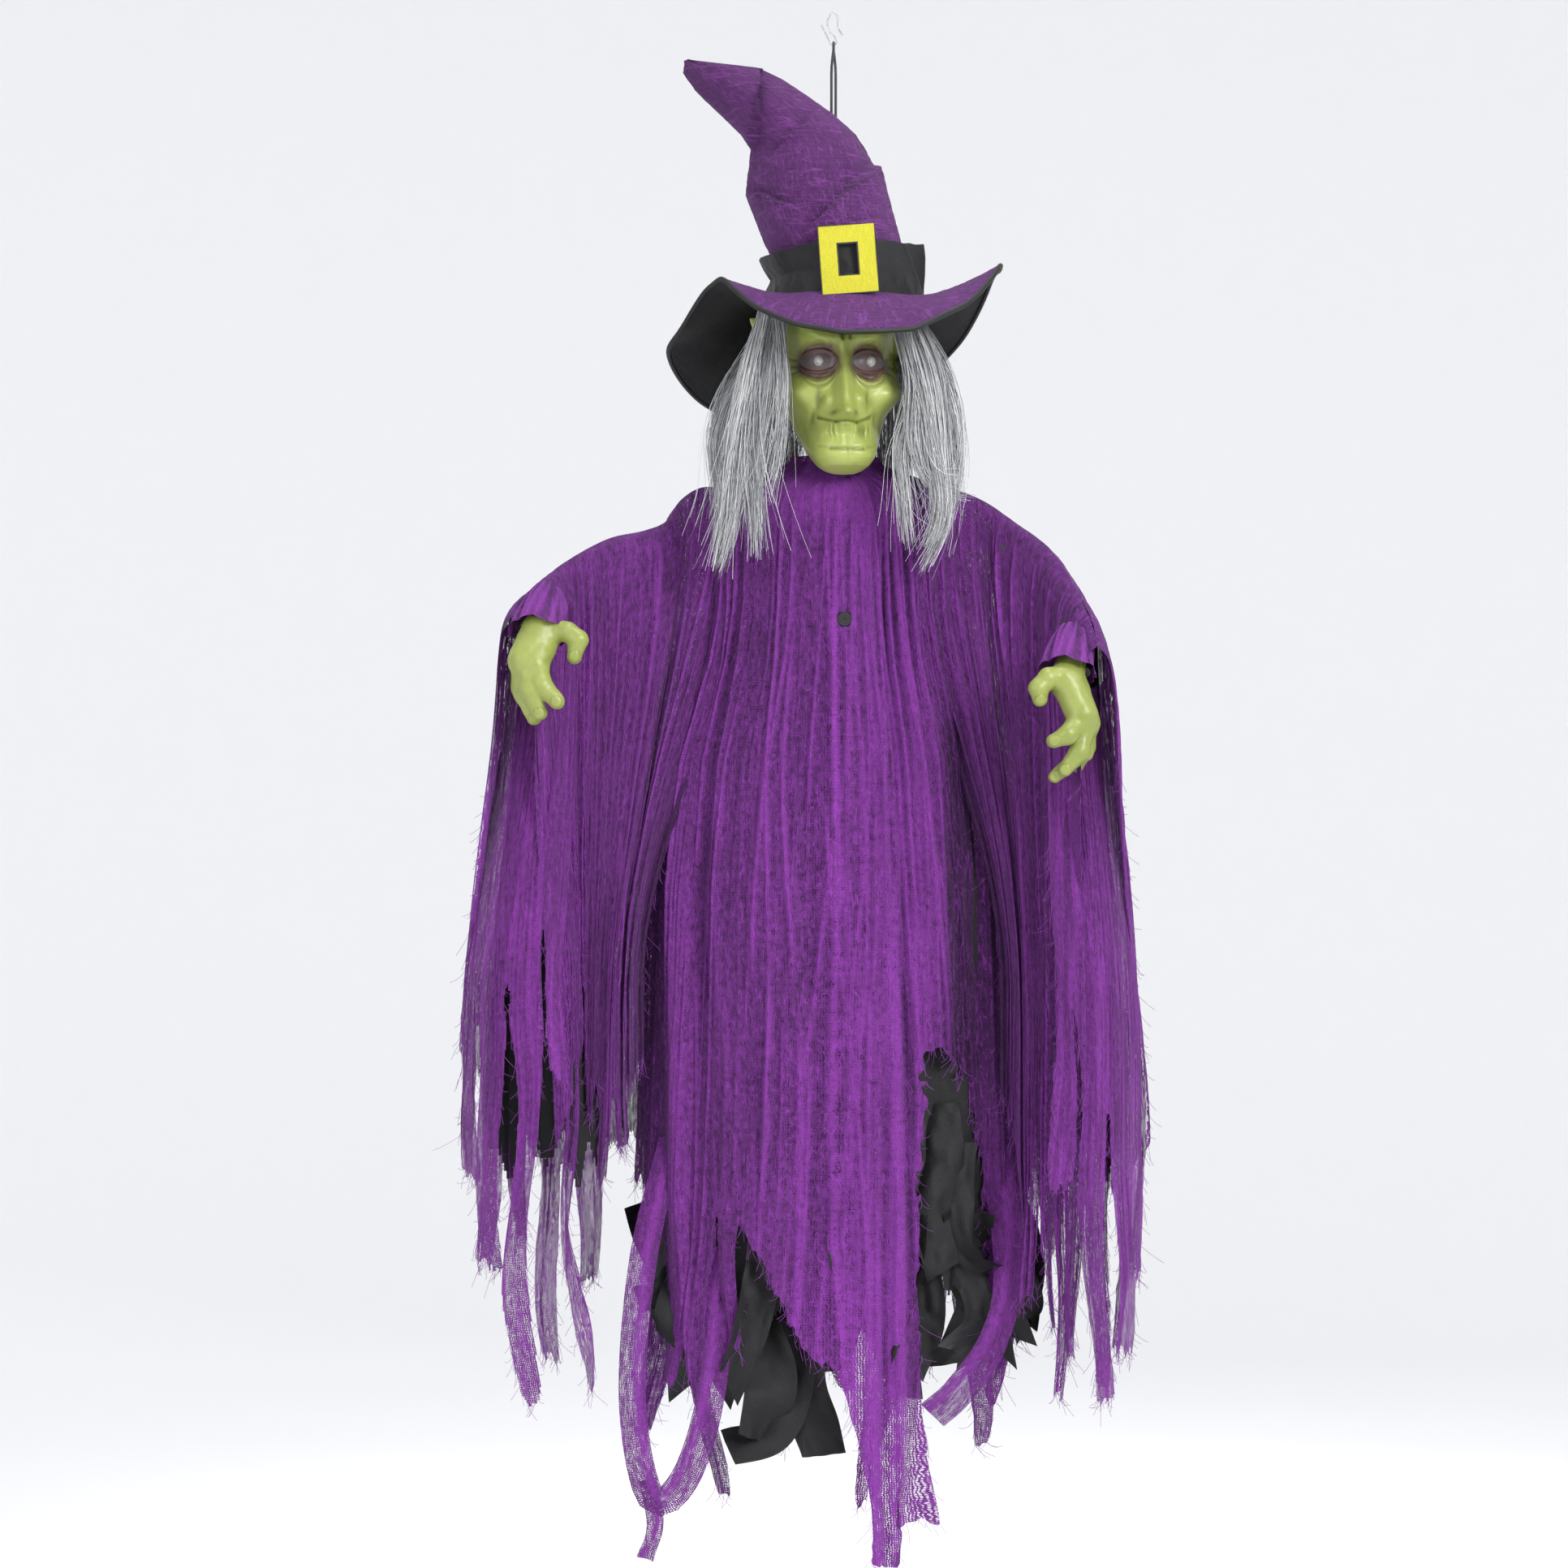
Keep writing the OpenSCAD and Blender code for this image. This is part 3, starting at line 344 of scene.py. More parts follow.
def felt(name):
    g = Graph(name)
    place = g.place()
    fluff = g.noise(place, 1400, 5, 0.7)
    fibre = g.noise(g.scaled(place, (1, 1, 0.25)), 700, 4, 0.7)
    g.link(g.mix(fibre, (0.36, 0.33, 0.010), (0.64, 0.60, 0.032)), g.shader.inputs["Base Color"])
    g.shader.inputs["Roughness"].default_value = 0.95
    g.shader.inputs["Sheen Weight"].default_value = 0.4
    g.link(g.bump(g.math("ADD", fluff, fibre), 0.7, 0.0006), g.shader.inputs["Normal"])
    return g.mat


def hair_material(name):
    g = Graph(name)
    strand = g.attribute("strand")
    along = g.noise(g.place(), 60, 2)
    tone = g.ramp(strand, [(0.0, (0.045, 0.047, 0.050)), (0.30, (0.20, 0.21, 0.22)),
                           (0.60, (0.58, 0.59, 0.60)), (1.0, (1.0, 1.0, 1.0))])
    g.link(g.mix(g.grey(along, 0.3, 0.7, 0.0, 0.25), tone, (0.25, 0.26, 0.28)),
           g.shader.inputs["Base Color"])
    g.link(g.grey(strand, 0, 1, 0.24, 0.42), g.shader.inputs["Roughness"])
    g.shader.inputs["Specular IOR Level"].default_value = 0.7
    return g.mat


def skin_material(name):
    """Moulded yellow-green vinyl: glossy, with painted maroon round the eyes and painted shade that darkens
    its creases.
    """
    g = Graph(name)
    place = g.place()
    cloud = g.noise(place, 28, 5, 0.6)
    fine = g.noise(place, 900, 3, 0.6)
    mottle = g.noise(place, 130, 4, 0.6)
    green = g.mix(g.grey(cloud, 0.3, 0.7), (0.275, 0.335, 0.062), (0.375, 0.430, 0.100))
    green = g.mix(g.grey(mottle, 0.45, 0.75, 0.0, 0.35), green, (0.40, 0.44, 0.15))
    # painted shade: this attribute darkens the vinyl towards dark olive in the face's creases and over the
    # hands
    crease = g.attribute("crease")
    green = g.mix(g.math("MULTIPLY", crease, 0.75, clamp=True), green, (0.075, 0.085, 0.012))
    paint = g.attribute("paint")
    edge = g.math("ADD", paint, g.grey(mottle, 0.3, 0.7, -0.16, 0.16))
    green = g.mix(g.grey(edge, 0.2, 0.9), green, (0.088, 0.042, 0.036))
    ball = g.attribute("ball")
    green = g.mix(g.grey(ball, 0.3, 0.6), green, (0.105, 0.078, 0.080))
    g.link(green, g.shader.inputs["Base Color"])
    g.link(g.grey(mottle, 0.3, 0.7, 0.36, 0.50), g.shader.inputs["Roughness"])
    g.shader.inputs["Subsurface Weight"].default_value = 0.08
    g.shader.inputs["Subsurface Radius"].default_value = (0.004, 0.005, 0.001)
    g.shader.inputs["Coat Weight"].default_value = 0.15
    g.shader.inputs["Coat Roughness"].default_value = 0.3
    rough = g.math("ADD", g.math("MULTIPLY", fine, 0.35), mottle)
    g.link(g.bump(rough, 0.22, 0.0009), g.shader.inputs["Normal"])
    return g.mat


def clear_led(name):
    g = Graph(name)
    swirl = g.noise(g.place(), 700, 2)
    g.link(g.mix(swirl, (0.80, 0.80, 0.78), (0.97, 0.97, 0.95)), g.shader.inputs["Base Color"])
    g.shader.inputs["Roughness"].default_value = 0.08
    g.shader.inputs["Transmission Weight"].default_value = 0.55
    g.shader.inputs["IOR"].default_value = 1.5
    return g.mat


def braid(name):
    """Round braided elastic: fine crossing strands round the cord."""
    g = Graph(name)
    place = g.scaled(g.place(), (1, 1, 1))
    parts = g.separate(place)
    around = g.math("MULTIPLY", g.math("ADD", parts[0], parts[1]), 2 * math.pi / 0.0011)
    climb = g.math("MULTIPLY", parts[2], 2 * math.pi / 0.0017)
    knit = g.math("MULTIPLY", g.math("SINE", g.math("ADD", around, climb)),
                  g.math("SINE", g.math("SUBTRACT", around, climb)))
    fuzz = g.noise(place, 2500, 2)
    g.link(g.mix(fuzz, (0.006, 0.006, 0.007), (0.035, 0.035, 0.037)), g.shader.inputs["Base Color"])
    g.shader.inputs["Roughness"].default_value = 0.75
    g.shader.inputs["Sheen Weight"].default_value = 0.3
    g.link(g.bump(knit, 0.8, 0.0004), g.shader.inputs["Normal"])
    return g.mat


PURPLE_DARK = (0.070, 0.014, 0.098)
PURPLE_LIGHT = (0.225, 0.038, 0.315)
MATS = {
    "gauze": gauze("gauze_layers", PURPLE_DARK, PURPLE_LIGHT, 0.45, 0.28),
    "hat_gauze": gauze("gauze_on_hat", (0.052, 0.012, 0.070), (0.150, 0.036, 0.195), 3.6, 0.9, 140),
    "thread": plain_plastic("loose_thread", (0.22, 0.05, 0.30), 0.85, 2000, 0.3),
    "lining": lining_cloth("black_lining"),
    "felt": felt("yellow_felt"),
    "hair": hair_material("silver_hair"),
    "skin": skin_material("green_vinyl"),
    "piping": plain_plastic("black_piping", (0.004, 0.004, 0.0045), 0.6, 1200, 0.3),
    "led": clear_led("clear_led"),
    "cord": braid("black_braid"),
    "wire": metal("galvanised_wire", (0.62, 0.63, 0.66), 0.32, (1, 1, 0.2)),
    "steel": metal("plated_steel", (0.66, 0.66, 0.68), 0.3, (1, 1, 0.1)),
    "case": plain_plastic("case_plastic", (0.03, 0.03, 0.033), 0.5),
    "nylon": plain_plastic("white_nylon", (0.80, 0.80, 0.76), 0.42),
    "tube": plain_plastic("tube_plastic", (0.035, 0.035, 0.035), 0.45),
    "cell": plain_plastic("cell_wrap", (0.05, 0.05, 0.06), 0.25, coat=0.4),
    "board": plain_plastic("board_mask", (0.03, 0.16, 0.06), 0.35),
    "speaker": plain_plastic("speaker_paper", (0.03, 0.03, 0.03), 0.7, 500, 0.4),
    "sensor": plain_plastic("sensor_gloss", (0.012, 0.012, 0.013), 0.22, coat=0.5),
}

# ---------------------------------------------------------------- fields and mesh building

LATTICE = np.random.default_rng(11).random((64, 64))


def value_noise(x, y):
    """Smooth noise from 0 to 1 that repeats every 64 cells."""
    x, y = np.broadcast_arrays(np.asarray(x, float), np.asarray(y, float))
    xi, yi = np.floor(x).astype(int), np.floor(y).astype(int)
    fx, fy = x - xi, y - yi
    fx, fy = fx * fx * (3 - 2 * fx), fy * fy * (3 - 2 * fy)
    a, b = LATTICE[xi % 64, yi % 64], LATTICE[(xi + 1) % 64, yi % 64]
    c, d = LATTICE[xi % 64, (yi + 1) % 64], LATTICE[(xi + 1) % 64, (yi + 1) % 64]
    return (a * (1 - fx) + b * fx) * (1 - fy) + (c * (1 - fx) + d * fx) * fy


def ridged(x, y):
    """Sharp crests and round valleys, from 0 to 1."""
    return 1 - np.abs(2 * value_noise(x, y) - 1)


def bell(distance, width):
    return np.exp(-np.square(distance / width))


def smooth_step(x, low, high):
    t = np.clip((x - low) / (high - low), 0, 1)
    return t * t * (3 - 2 * t)


def segment_distance(x, z, a, b):
    """Distance to a segment in the front plane, and the share along it."""
    a, b = np.array(a), np.array(b)
    d = b - a
    t = np.clip(((x - a[0]) * d[0] + (z - a[1]) * d[1]) / (d @ d), 0, 1)
    return np.hypot(x - a[0] - t * d[0], z - a[1] - t * d[1]), t


def curve_through(points, count):
    """Points on a smooth curve through the given ones (Catmull-Rom by arc length)."""
    p = np.array(points, float)
    full = np.vstack([2 * p[0] - p[1], p, 2 * p[-1] - p[-2]])
    dense = []
    for k in range(len(p) - 1):
        a, b, c, d = full[k:k + 4]
        t = np.linspace(0, 1, 24, endpoint=False)[:, None]
        dense.append(0.5 * (2 * b + (c - a) * t + (2 * a - 5 * b + 4 * c - d) * t ** 2
                            + (3 * b - a - 3 * c + d) * t ** 3))
    dense = np.vstack([*dense, p[-1:]])
    along = np.concatenate([[0], np.cumsum(np.linalg.norm(np.diff(dense, axis=0), axis=1))])
    at = np.linspace(0, along[-1], count)
    return np.column_stack([np.interp(at, along, dense[:, k]) for k in range(dense.shape[1])])


def make_object(name, points, faces, material, uv=None, smooth=True, attributes=None):
    mesh = bpy.data.meshes.new(name)
    mesh.from_pydata(np.asarray(points, float).tolist(), [], [tuple(f) for f in faces])
    if uv is not None:
        layer = mesh.uv_layers.new(name="cloth")
        loops = np.empty(len(mesh.loops), int)
        mesh.loops.foreach_get("vertex_index", loops)
        layer.data.foreach_set("uv", np.asarray(uv, float)[loops].ravel())
    for key, values in (attributes or {}).items():
        made = mesh.attributes.new(key, "FLOAT", "POINT")
        made.data.foreach_set("value", np.asarray(values, float).ravel())
    if smooth:
        mesh.shade_smooth()
    mesh.materials.append(MATS[material])
    made = bpy.data.objects.new(name, mesh)
    bpy.context.collection.objects.link(made)
    return made


def grid_faces(rows, columns, keep=None, wrap=False):
    """Quads of a grid whose points are stored row by row; keep says which cells stay."""
    last = columns if wrap else columns - 1
    r, c = np.meshgrid(np.arange(rows - 1), np.arange(last), indexing="ij")
    if keep is not None:
        chosen = keep[:rows - 1, :last]
        r, c = r[chosen], c[chosen]
    r, c = r.ravel(), c.ravel()
    d = (c + 1) % columns
    return np.column_stack([r * columns + c, r * columns + d,
                            (r + 1) * columns + d, (r + 1) * columns + c])


def only_used(points, faces, *extras):
    """Drops the points that no face uses."""
    used = np.unique(faces)
    renumber = np.full(len(points), -1)
    renumber[used] = np.arange(len(used))
    return points[used], renumber[faces], [e[used] for e in extras]


def tube_mesh(path, radius, sides=8):
    """Points and faces of a tube; radius may be one number or one per point."""
    path = np.asarray(path, float)
    radius = np.broadcast_to(radius, len(path))
    along = np.gradient(path, axis=0)
    along /= np.linalg.norm(along, axis=1)[:, None] + 1e-12
    side = np.cross(along, [0.61, 0.77, 0.19])
    side /= np.linalg.norm(side, axis=1)[:, None] + 1e-12
    other = np.cross(along, side)
    turn = 2 * np.pi * np.arange(sides) / sides
    ring = (np.cos(turn)[None, :, None] * side[:, None] + np.sin(turn)[None, :, None] * other[:, None])
    points = (path[:, None] + ring * radius[:, None, None]).reshape(-1, 3)
    return points, grid_faces(len(path), sides, wrap=True)


def tubes_object(name, paths, radii, sides, material, values=None):
    """Many thin tubes in one object; values gives each tube one number in the attribute strand."""
    points, faces, marks, start = [], [], [], 0
    for k, (path, radius) in enumerate(zip(paths, radii)):
        p, f = tube_mesh(path, radius, sides)
        points.append(p)
        faces.append(f + start)
        marks.append(np.full(len(p), 0.5 if values is None else values[k]))
        start += len(p)
    return make_object(name, np.vstack(points), np.vstack(faces), material,
                       attributes={"strand": np.concatenate(marks)})


def paint_node(node, material):
    NODES[node].data.materials.clear()
    NODES[node].data.materials.append(MATS[material])


def middle(node):
    low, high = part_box(node)
    return (np.array(low) + np.array(high)) / 2


# ---------------------------------------------------------------- gauze and lining

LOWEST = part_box("robe_tatters")[0][2]
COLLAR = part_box("robe_front")[1][2]
SENSOR = middle("sound_sensor")
PLEAT = 0.0042

# Height, half width and half depth of the robe, as its CAD shell has them.
ROBE_LEVELS = np.array([
    [-1.26, 0.156, 0.080], [-1.000, 0.152, 0.078], [-0.960, 0.151, 0.078], [-0.700, 0.142, 0.068],
    [-0.600, 0.130, 0.062], [-0.520, 0.106, 0.056], [-0.480, 0.099, 0.052], [-0.440, 0.097, 0.046],
    [-0.400, 0.096, 0.043], [-0.385, 0.084, 0.038], [-0.372, 0.048, 0.032], [-0.363, 0.034, 0.028],
    [-0.352, 0.031, 0.026],
])
ROBE_POWER = 2.4


def robe_at(angle, z, grow=0.0):
    """Points of the robe's outline at angles (radians) and heights, and the outward direction."""
    a = np.interp(z, ROBE_LEVELS[:, 0], ROBE_LEVELS[:, 1]) + grow
    b = np.interp(z, ROBE_LEVELS[:, 0], ROBE_LEVELS[:, 2]) + grow
    c, s = np.cos(angle), np.sin(angle)
    x = a * np.sign(c) * np.abs(c) ** (2 / ROBE_POWER)
    y = b * np.sign(s) * np.abs(s) ** (2 / ROBE_POWER)
    out = np.stack([c / a, s / b, np.zeros_like(c + z)], -1)
    out /= np.linalg.norm(out, axis=-1, keepdims=True)
    return np.stack([x, y, z + 0 * x], -1), out


def crinkle(across, down, seed=0.0):
    """Height of the gauze's fine pleats (0 to 1) over cloth coordinates in metres."""
    wander = 0.0035 * value_noise(across / 0.03 + seed, down / 0.12) + across
    fine = ridged(wander / PLEAT + seed, down / 0.17)
    finer = ridged(wander / (0.45 * PLEAT) + 9 + seed, down / 0.08)
    return 0.68 * fine + 0.32 * finer


def folds(across, down, seed=0.0):
    """Height of the large hanging folds (-1 to 1)."""
    wander = across + 0.010 * value_noise(across / 0.09 + 3 + seed, down / 0.5)
    broad = value_noise(wander / 0.036 + seed, down / 0.9) - 0.5
    sharp = ridged(wander / 0.021 + 5 + seed, down / 0.7) - 0.55
    return 1.1 * broad + 0.75 * sharp


def tucks(across, drop, count, seed, low, high):
    """Narrow gathered pleats that wander down the cloth: their height field, from 0 to 1."""
    rng = np.random.default_rng(seed)
    total = np.zeros(np.broadcast(across, drop).shape)
    for _ in range(count):
        start = rng.uniform(low, high)
        lean = rng.normal(0, 0.030)
        wide = rng.uniform(0.0011, 0.0022)
        centre = start + lean * drop + 0.004 * np.sin(drop * rng.uniform(5, 12) + rng.uniform(0, 6))
        strength = rng.uniform(0.5, 1.0) * smooth_step(drop, 0.0, 0.06)
        patchy = value_noise(drop / 0.11 + rng.uniform(0, 50), start * 40)
        strength = strength * smooth_step(patchy, 0.15, 0.5)
        total = np.maximum(total, strength * bell(across - centre, wide))
    return total


def smooth_rim(points, faces, rounds=3):
    """Rounds off the steps that the grid leaves along torn edges."""
    edges = np.sort(np.vstack([faces[:, [0, 1]], faces[:, [1, 2]], faces[:, [2, 3]],
                               faces[:, [3, 0]]]), axis=1)
    found, uses = np.unique(edges, axis=0, return_counts=True)
    rim = found[uses == 1]
    for _ in range(rounds):
        total, count = np.zeros_like(points), np.zeros(len(points))
        for a, b in ((0, 1), (1, 0)):
            np.add.at(total, rim[:, a], points[rim[:, b]])
            np.add.at(count, rim[:, a], 1)
        on_rim = count > 0
        points[on_rim] = 0.5 * points[on_rim] + 0.5 * total[on_rim] / count[on_rim, None]
    return points


def edge_fray(across, z, amount):
    """How far a torn edge jumps up or down, in metres."""
    coarse = value_noise(across / 0.012 + 31, z / 0.05) - 0.5
    thread = value_noise(across / 0.0019 + 17, 3.3) - 0.5
    return amount * (1.1 * coarse + 1.3 * thread)


def boundary_points(points, faces, below):
    """Points on open edges lower than a height, where loose threads start."""
    edges = np.sort(np.vstack([faces[:, [0, 1]], faces[:, [1, 2]], faces[:, [2, 3]],
                               faces[:, [3, 0]]]), axis=1)
    found, uses = np.unique(edges, axis=0, return_counts=True)
    rim = np.unique(found[uses == 1])
    return rim[points[rim, 2] < below]


FRAYS = {}


def add_frays(group, points, faces, below, share, longest=0.022):
    """Remembers loose threads for one group of torn edges."""
    rim = boundary_points(points, faces, below)
    for k in rim[RNG.random(len(rim)) < share]:
        length = longest * (0.25 + 0.75 * RNG.random() ** 2)
        lean = RNG.normal(0, 0.45, 2)
        steps = np.linspace(0, 1, 5)[:, None]
        curl = RNG.normal(0, 0.003, 3) * steps ** 2
        drop = np.array([lean[0], lean[1] * 0.6, -1.0]) * length * steps
        drop[:, 2] += 0.25 * length * np.abs(lean[0]) * steps[:, 0] ** 2
        FRAYS.setdefault(group, []).append(points[k] + drop + curl)


def cut_mask(across, z, slit_z, strips, seed=0.0):
    """Which points stay: all above slit_z, and below it only the strips.

    strips holds the middle, half width and lowest height of each strip; a strip thins as it falls.
    """
    rough = edge_fray(across + seed, z, 0.010)
    keep = z + rough > slit_z
    for centre, half, end in strips:
        share = np.clip((slit_z - z) / max(slit_z.max() - end, 0.01), 0, 1)
        uneven = 0.8 + 0.4 * value_noise(z / 0.03 + centre * 90, centre * 7)
        width = half * (1 - 0.45 * share - 0.35 * share ** 4) * uneven
        keep |= (np.abs(across - centre) < width) & (z + rough > end)
    return keep


def sway_of(across, z, slit_z, strips, amount=0.012):
    """How far each strip has drifted sideways and to the front, growing as it falls."""
    side, front = np.zeros_like(z), np.zeros_like(z)
    centres = np.array([s[0] for s in strips])
    nearest = np.abs(across[..., None] - centres).argmin(-1)
    fall = np.clip(slit_z - z, 0, None)
    for k in range(len(strips)):
        mine = nearest == k
        phase = 2.4 * k + 0.7
        grow = np.minimum(fall / 0.16, 1.6) * amount
        side = np.where(mine, grow * np.sin(phase + fall * 21), side)
        front = np.where(mine, grow * 0.8 * np.sin(2 * phase + fall * 16), front)
    return side, front


def in_outline(x, z, outline):
    """Whether each point lies inside a closed outline in the front plane."""
    inside = np.zeros(np.shape(x), bool)
    count = len(outline)
    for k in range(count):
        (x0, z0), (x1, z1) = outline[k], outline[(k + 1) % count]
        if z0 == z1:
            continue
        crosses = ((z0 > z) != (z1 > z)) & (x < (x1 - x0) * (z - z0) / (z1 - z0) + x0)
        inside ^= crosses
    return inside


BODY_COLUMNS = 420
BODY_ROWS = 300
# Front strips of the robe: middle (x), half width, lowest height.
FRONT_STRIPS = [
    (-0.126, 0.012, -1.100), (-0.104, 0.011, -1.125), (-0.084, 0.008, -1.060),
    (0.039, 0.013, -1.231), (0.062, 0.011, -1.200), (0.124, 0.012, -1.110), (0.142, 0.012, -1.06),
]
FRONT_SLIT = [(-0.17, -0.930), (-0.14, -0.945), (-0.10, -0.955), (-0.080, -0.962), (-0.062, -0.985),
              (-0.043, -1.020), (-0.030, -1.050), (-0.012, -1.075), (0.004, -1.090), (0.018, -1.135),
              (0.030, -1.185), (0.050, -1.170), (0.066, -1.060), (0.078, -0.94), (0.100, -0.93),
              (0.120, -0.96), (0.17, -0.93)]
FRONT_TEAR = [(0.068, -0.832), (0.084, -0.826), (0.098, -0.842), (0.108, -0.880), (0.114, -0.93),
              (0.117, -0.97), (0.112, -1.10), (0.076, -1.10), (0.066, -1.02), (0.066, -0.93),
              (0.072, -0.87)]
BACK_STRIPS = [
    (-0.140, 0.016, -1.15), (-0.105, 0.014, -1.20), (-0.070, 0.018, -1.08), (-0.034, 0.014, -1.17),
    (0.002, 0.022, -1.12), (0.040, 0.013, -1.21), (0.078, 0.018, -1.10), (0.112, 0.014, -1.16),
    (0.142, 0.014, -1.09),
]
BACK_SLIT = [(-0.17, -0.95), (-0.08, -0.99), (0.0, -0.96), (0.08, -1.0), (0.17, -0.95)]


def make_robe_half(name, node, front):
    strips = FRONT_STRIPS if front else BACK_STRIPS
    slit = np.array(FRONT_SLIT if front else BACK_SLIT)
    turn = np.linspace(math.pi, 2 * math.pi, BODY_COLUMNS) if front else \
        np.linspace(0, math.pi, BODY_COLUMNS)
    height = np.linspace(COLLAR + 0.008, LOWEST + 0.004, BODY_ROWS)
    z, angle = np.meshgrid(height, turn, indexing="ij")
    drop = COLLAR - z
    place, out = robe_at(angle, z, 0.002)
    across = (angle - angle.mean()) * 0.115 + (0 if front else 2.0)
    gather = smooth_step(drop, -0.01, 0.16)
    deep = 0.0040 + 0.0130 * smooth_step(drop, 0.05, 0.42)
    shade = np.zeros_like(z)
    wave = folds(across, drop, 4.0 if front else 11.0)
    fine = crinkle(across, drop)
    lift = wave * deep + (fine - 0.5) * (0.0014 + 0.0024 * gather)
    pleat = smooth_step(fine, 0.62, 1.0) * (0.20 + 0.60 * smooth_step(wave, -0.1, 0.8))
    narrow = tucks(across, drop, 30, 5 if front else 6, *np.sort(across[0, [0, -1]]))
    if front:
        narrow = np.maximum(narrow, tucks(across, drop, 16, 8, 0.004, 0.062))
    lift += 0.0042 * narrow
    pleat = np.maximum(pleat, np.maximum(narrow, 0.8 * (1 - smooth_step(drop, 0.01, 0.08))))
    if front:
        bundle = bell(place[..., 0] - 0.034 - 0.02 * np.sin(drop * 4), 0.022)
        ribs = ridged(across / 0.0075, drop / 0.8)
        lift += bundle * (ribs - 0.4) * 0.011 * gather
        pleat = np.maximum(pleat, bundle * smooth_step(ribs, 0.35, 0.8))
        # painted shade: valley and the band on the left side darken the gauze where the robe lies in shadow
        # between the bundles and the sleeves; valley also dents the cloth inwards
        valley = smooth_step(place[..., 0], 0.076, 0.094) * smooth_step(drop, 0.12, 0.26)
        shade = 0.9 * valley * (1 - 0.6 * smooth_step(drop, 0.46, 0.60))
        shade = shade + 0.8 * smooth_step(-place[..., 0], 0.118, 0.136) * smooth_step(drop, 0.2, 0.4)
        lift = lift - 0.010 * valley * bell(place[..., 0] - 0.115, 0.03)
        sensor_gap = np.hypot(place[..., 0] - SENSOR[0], z - SENSOR[2])
        lift = lift * smooth_step(sensor_gap, 0.006, 0.020)
    pleat = np.maximum(pleat, 0.7 * smooth_step(np.abs(place[..., 0]), 0.105, 0.130))
    place = place + out * lift[..., None]
    ragged_x = place[..., 0].copy()
    slit_z = np.interp(ragged_x, slit[:, 0], slit[:, 1])
    keep = cut_mask(ragged_x, z, slit_z, strips, 0.0 if front else 0.4)
    side, forward = sway_of(ragged_x, z, slit_z, strips)
    place[..., 0] += side
    place[..., 1] += forward * (-1 if front else 1)
    if front:
        rough = 0.012 * (value_noise(z / 0.004, ragged_x / 0.004) - 0.5)
        keep &= ~in_outline(ragged_x + rough, z, FRONT_TEAR)
    if front:
        keep &= sensor_gap > 0.0052
    cells = keep[:-1, :-1] & keep[1:, :-1] & keep[:-1, 1:] & keep[1:, 1:]
    faces = grid_faces(BODY_ROWS, BODY_COLUMNS, cells)
    uv = np.stack([across + 3, drop + 1], -1).reshape(-1, 2)
    points, faces, (uv, pleat, shade) = only_used(place.reshape(-1, 3), faces, uv, pleat.ravel(),
                                                  shade.ravel())
    points = smooth_rim(points, faces)
    robe = make_object(name, points, faces, "gauze", uv,
                       attributes={"pleat": pleat, "sheer": 0.75 * smooth_step(-points[:, 2], 0.96, 1.06),
                                   "crease": shade})
    add_frays("figure", points, faces, -0.80, 0.45, 0.016)
    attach(robe, "figure")
    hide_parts(node, *(["robe_tatters"] if front else []))
    return robe


make_robe_half("robe_front_gauze", "robe_front", True)
make_robe_half("robe_back_gauze", "robe_back", False)


def make_lining():
    """The black lining inside the robe: one tube of cloth, slit into ragged panels at its foot."""
    columns, rows = 420, 200
    turn = np.linspace(0, 2 * math.pi, columns, endpoint=False)
    height = np.linspace(-0.374, -1.105, rows)
    z, angle = np.meshgrid(height, turn, indexing="ij")
    place, out = robe_at(angle, z, -0.0065)
    across = angle * 0.115
    drop = COLLAR - z
    deep = 0.001 + 0.006 * smooth_step(drop, 0.15, 0.5)
    place = place + out * (folds(across, drop, 21.0) * deep - 0.002)[..., None]
    foot = -1.020 + 0.10 * (value_noise(across / 0.040, 2.0) - 0.5) \
        + 0.05 * (value_noise(across / 0.012, 4.0) - 0.5)
    slits = value_noise(across / 0.022 + 7, z / 0.3) > 0.80
    arm_gap = (np.abs(place[..., 0]) > 0.084) & (np.abs(place[..., 1]) < 0.034) & (z > -0.482)
    keep = (z > foot) & ~(slits & (z < -0.90)) & ~arm_gap
    cells = keep[:-1] & keep[1:]
    cells &= np.roll(cells, -1, axis=1)
    faces = grid_faces(rows, columns, cells, wrap=True)
    uv = np.stack([across, drop], -1).reshape(-1, 2)
    points, faces, (uv,) = only_used(place.reshape(-1, 3), faces, uv)
    lining = make_object("robe_lining_cloth", points, faces, "lining", uv)
    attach(lining, "figure")
    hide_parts("robe_lining")
    return lining


lining = make_lining()

